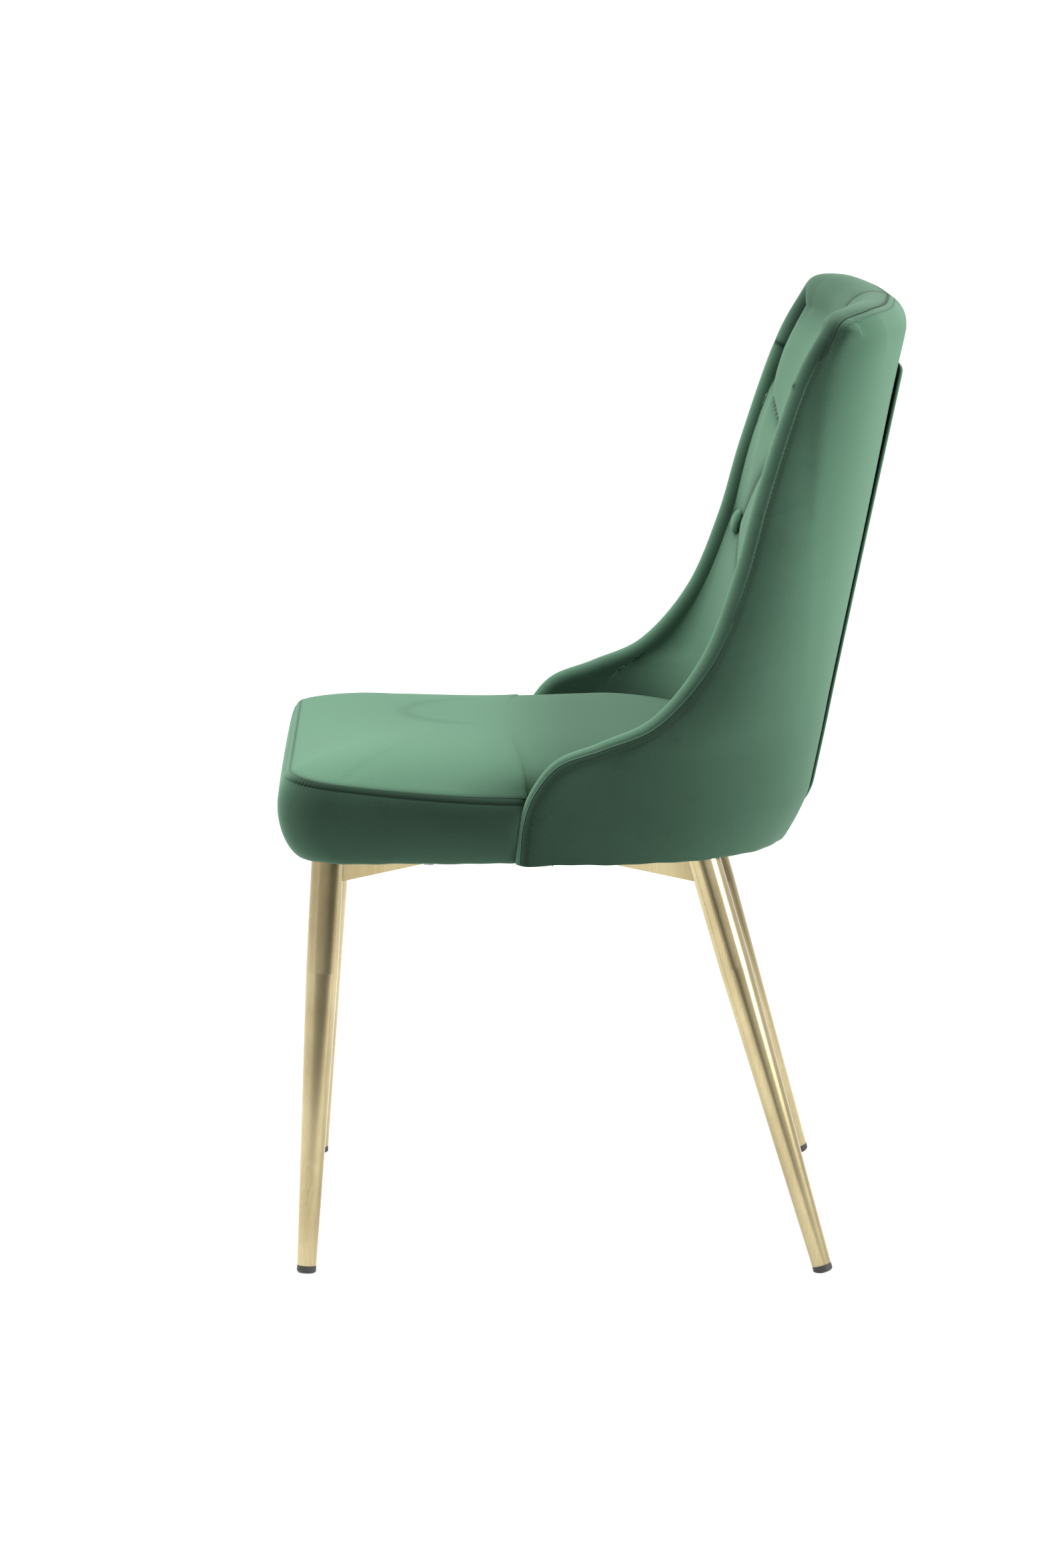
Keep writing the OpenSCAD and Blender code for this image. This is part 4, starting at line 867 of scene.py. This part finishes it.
# A matt or satin finish with one grain, its size in millimetres
def grainy(name, dark, light, grainSize, stretchBy, settings):
    material, tree = newMaterial(name)
    where = addNode(tree, "ShaderNodeTexCoord").outputs["Object"]
    stretch = addNode(tree, "ShaderNodeMapping", {"Scale": stretchBy}, Vector=where)
    grain = addNode(tree, "ShaderNodeTexNoise",
                    {"Scale": 1 / (grainSize * mm), "Detail": 4.0, "Distortion": 0.4},
                    Vector=stretch.outputs[0])
    colour = addNode(tree, "ShaderNodeMix", {"data_type": "RGBA", 6: toLinear(dark), 7: toLinear(light)},
                     Factor=grain.outputs["Fac"])
    bump = addNode(tree, "ShaderNodeBump", {"Strength": 0.2, "Distance": 0.2 * mm},
                   Height=grain.outputs["Fac"])
    surface = addNode(tree, "ShaderNodeBsdfPrincipled", settings,
                      **{"Base Color": colour.outputs[2], "Normal": bump.outputs[0]})
    addNode(tree, "ShaderNodeOutputMaterial", Surface=surface.outputs[0])
    return material


finishes = {
    "frame_metal": champagneMetal(),
    # Injection-moulded polypropylene with a fine spark-eroded grain
    "foot_plastic": grainy("moulded black polypropylene", "#2b2b2a", "#403f3d", 1.4, (1, 1, 1),
                           {"Roughness": 0.5}),
    # Zinc-plated steel: grey, slightly blue, satin
    "fastener_steel": grainy("zinc plated steel", "#9a9d9f", "#c3c6c8", 4, (1, 1, 1),
                             {"Metallic": 1.0, "Roughness": 0.35}),
    # Rotary-cut birch plywood: pale, long soft grain
    "plywood": grainy("birch plywood", "#b78f5c", "#d8b988", 16, (1, 0.08, 1), {"Roughness": 0.65}),
    # Pressed wood fibre: brown and felted
    "hardboard": grainy("pressed hardboard", "#5e4630", "#7d6145", 2.5, (1, 1, 1), {"Roughness": 0.75}),
    # Twisted cotton, waxed: pale and fibrous
    "cord": grainy("waxed cotton twine", "#b9b09a", "#ded6c2", 1.1, (1, 1, 1), {"Roughness": 0.9}),
    # Thermally bonded polypropylene fleece: black, dull, faintly mottled
    "lining_cloth": grainy("black spunbond lining", "#17181a", "#2c2d30", 1.7, (1, 1, 1),
                           {"Roughness": 0.95}),
    "velvet": greenVelvet,
}
for row in frame["record"]["subparts"]:
    finish = finishes.get(row["material_slot"])
    if finish:
        for holder in frame["nodes"][row["node"]].material_slots:
            holder.material = finish
print("finishes on", len(frame["nodes"]), "nodes")

# Lining: black fleece stretched under the seat, cut to the board's outline
fleece = {"thickness": 0.4 * mm, "hollow": 1.0 * mm, "ripple": 0.35 * mm, "ripples": 46, "clear": 170 * mm}
liningPoints = np.array([tuple(v.co) for v in frame["nodes"]["base_lining"].data.vertices])
liningZ = liningPoints[:, 2].min()
underside = liningPoints[liningPoints[:, 2] < liningZ + 0.1 * mm]
liningMiddle = np.array([0, (underside[:, 1].min() + underside[:, 1].max()) / 2])
spokes = underside[:, :2] - liningMiddle
reachAt = {}
for angle, reach in zip(np.arctan2(spokes[:, 1], spokes[:, 0]).round(3), np.linalg.norm(spokes, axis=1)):
    if reach > fleece["clear"]:
        reachAt[float(angle)] = max(float(reach), reachAt.get(float(angle), 0))
spokeAngles = np.array(sorted(reachAt))
turns = np.linspace(-np.pi, np.pi, 241)[:-1]
outline = np.interp(turns, spokeAngles, [reachAt[a] for a in spokeAngles], period=2 * np.pi)
liningRings = []
for share in np.concatenate([[1.0, 0.97, 0.94], np.linspace(0.9, 0.04, 18)]):
    ripple = fleece["ripple"] * np.sin(turns * fleece["ripples"]) * share ** 6
    liningRings.append(np.stack([outline * share * np.cos(turns),
                                 liningMiddle[1] + outline * share * np.sin(turns),
                                 liningZ + ripple - fleece["hollow"] * (1 - share ** 2)], -1))
liningGrid = np.stack(liningRings, axis=1)
liningColumns, liningRows = liningGrid.shape[:2]
liningAll = np.concatenate([liningGrid.reshape(-1, 3), [liningGrid[:, -1].mean(axis=0)]])
liningFaces = (gridFaces(liningColumns, liningRows, closed=True, flip=True)
               + fanFaces(liningColumns, liningRows, flip=True))
lining = makePiece("under_seat_lining", liningAll, liningFaces, finishes["lining_cloth"])
thicken(lining, fleece["thickness"])
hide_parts("base_lining")
print("lining done")

# White studio sweep: the camera sees it as white, less the chair's own shadow
studio = {
    "floor": "#e7e7e7", "glow": 0.7, "fill": 0.42, "overhead": 70, "rear": 66, "side": 14, "reach": 40,
    "dimTowards": (0.85, 0.53, 0), "dimFrom": 1.2, "dimTo": 1.9, "dim": 0.03,
}
floorMesh = bpy.data.meshes.new("floor")
floorReach = studio["reach"]
floorMesh.from_pydata([(-floorReach, -floorReach, 0), (floorReach, -floorReach, 0),
                       (floorReach, floorReach, 0), (-floorReach, floorReach, 0)], [], [(0, 1, 2, 3)])
floor = bpy.data.objects.new("floor", floorMesh)
bpy.context.collection.objects.link(floor)
floorPaint, tree = newMaterial("matt white studio paper")
path = addNode(tree, "ShaderNodeLightPath")
pale = addNode(tree, "ShaderNodeBsdfDiffuse", {"Color": toLinear(studio["floor"])})
# Painted reflection: for glossy rays alone the paper turns dark beyond a line, so the brass mirrors a dark
# streak that the camera does not see
spot = addNode(tree, "ShaderNodeTexCoord").outputs["Object"]
along = addNode(tree, "ShaderNodeVectorMath", {"operation": "DOT_PRODUCT", 1: studio["dimTowards"]}, i0=spot)
dim = addNode(tree, "ShaderNodeMapRange", {"From Min": studio["dimFrom"], "From Max": studio["dimTo"]},
              Value=along.outputs["Value"])
mirroredDim = addNode(tree, "ShaderNodeMath", {"operation": "MULTIPLY"}, i0=dim.outputs[0],
                      i1=path.outputs["Is Glossy Ray"])
glow = addNode(tree, "ShaderNodeEmission", {"Strength": studio["glow"]})
paintedDarkReflection = addNode(tree, "ShaderNodeEmission", {"Strength": studio["dim"]})
both = addNode(tree, "ShaderNodeAddShader", None, i0=pale.outputs[0], i1=glow.outputs[0])
seen = addNode(tree, "ShaderNodeMath", {"operation": "MAXIMUM"}, i0=path.outputs["Is Camera Ray"],
               i1=path.outputs["Is Glossy Ray"])
choose = addNode(tree, "ShaderNodeMixShader", None, Fac=seen.outputs[0], i1=pale.outputs[0],
                 i2=both.outputs[0])
withPaintedReflection = addNode(tree, "ShaderNodeMixShader", None, Fac=mirroredDim.outputs[0], i1=choose.outputs[0],
                i2=paintedDarkReflection.outputs[0])
addNode(tree, "ShaderNodeOutputMaterial", Surface=withPaintedReflection.outputs[0])
floorMesh.materials.append(floorPaint)

world = bpy.data.worlds.new("studio")
bpy.context.scene.world = world
world.use_nodes = True
tree = world.node_tree
tree.nodes.clear()
path = addNode(tree, "ShaderNodeLightPath")
white = addNode(tree, "ShaderNodeBackground", {"Strength": 1.0, "Color": (1, 1, 1, 1)})
fill = addNode(tree, "ShaderNodeBackground", {"Strength": studio["fill"], "Color": (1, 1, 1, 1)})
seen = addNode(tree, "ShaderNodeMath", {"operation": "MAXIMUM"}, i0=path.outputs["Is Camera Ray"],
               i1=path.outputs["Is Glossy Ray"])
seenAll = addNode(tree, "ShaderNodeMath", {"operation": "MAXIMUM"}, i0=seen.outputs[0],
                  i1=path.outputs["Is Transmission Ray"])
choose = addNode(tree, "ShaderNodeMixShader", None, Fac=seenAll.outputs[0], i1=fill.outputs[0],
                 i2=white.outputs[0])
addNode(tree, "ShaderNodeOutputWorld", Surface=choose.outputs[0])


def softLight(name, at, towards, size, watts):
    lamp = bpy.data.lights.new(name, "AREA")
    lamp.shape = "RECTANGLE"
    lamp.size, lamp.size_y = size
    lamp.energy = watts
    holder = bpy.data.objects.new(name, lamp)
    holder.location = at
    holder.rotation_euler = (Vector(towards) - Vector(at)).to_track_quat("-Z", "Y").to_euler()
    bpy.context.collection.objects.link(holder)


softLight("overhead softbox", (-0.3, -0.8, 2.6), (0, 0, 0.5), (2.2, 2.2), studio["overhead"])
softLight("rear softbox", (1.2, 2.6, 1.5), (0, 0.1, 0.6), (1.6, 1.8), studio["rear"])
softLight("side softbox", (1.9, -3.6, 1.6), (0, -0.1, 0.5), (1.4, 1.6), studio["side"])

view = {"lens": 141.6, "sensor": 36, "place": (6.1315, -0.108, 1.634), "pitch": 10.98, "yaw": 0.35}
camera = bpy.data.objects.new("camera", bpy.data.cameras.new("camera"))
bpy.context.collection.objects.link(camera)
camera.data.lens = view["lens"]
camera.data.sensor_width = view["sensor"]
camera.data.clip_end = 200
camera.location = view["place"]
pitch, yaw = math.radians(view["pitch"]), math.radians(view["yaw"])
aim = Vector((-math.cos(pitch) * math.cos(yaw), math.cos(pitch) * math.sin(yaw), -math.sin(pitch)))
camera.rotation_euler = aim.to_track_quat("-Z", "Y").to_euler()
bpy.context.scene.camera = camera
bpy.context.scene.view_settings.view_transform = "Standard"
print("studio and camera set")
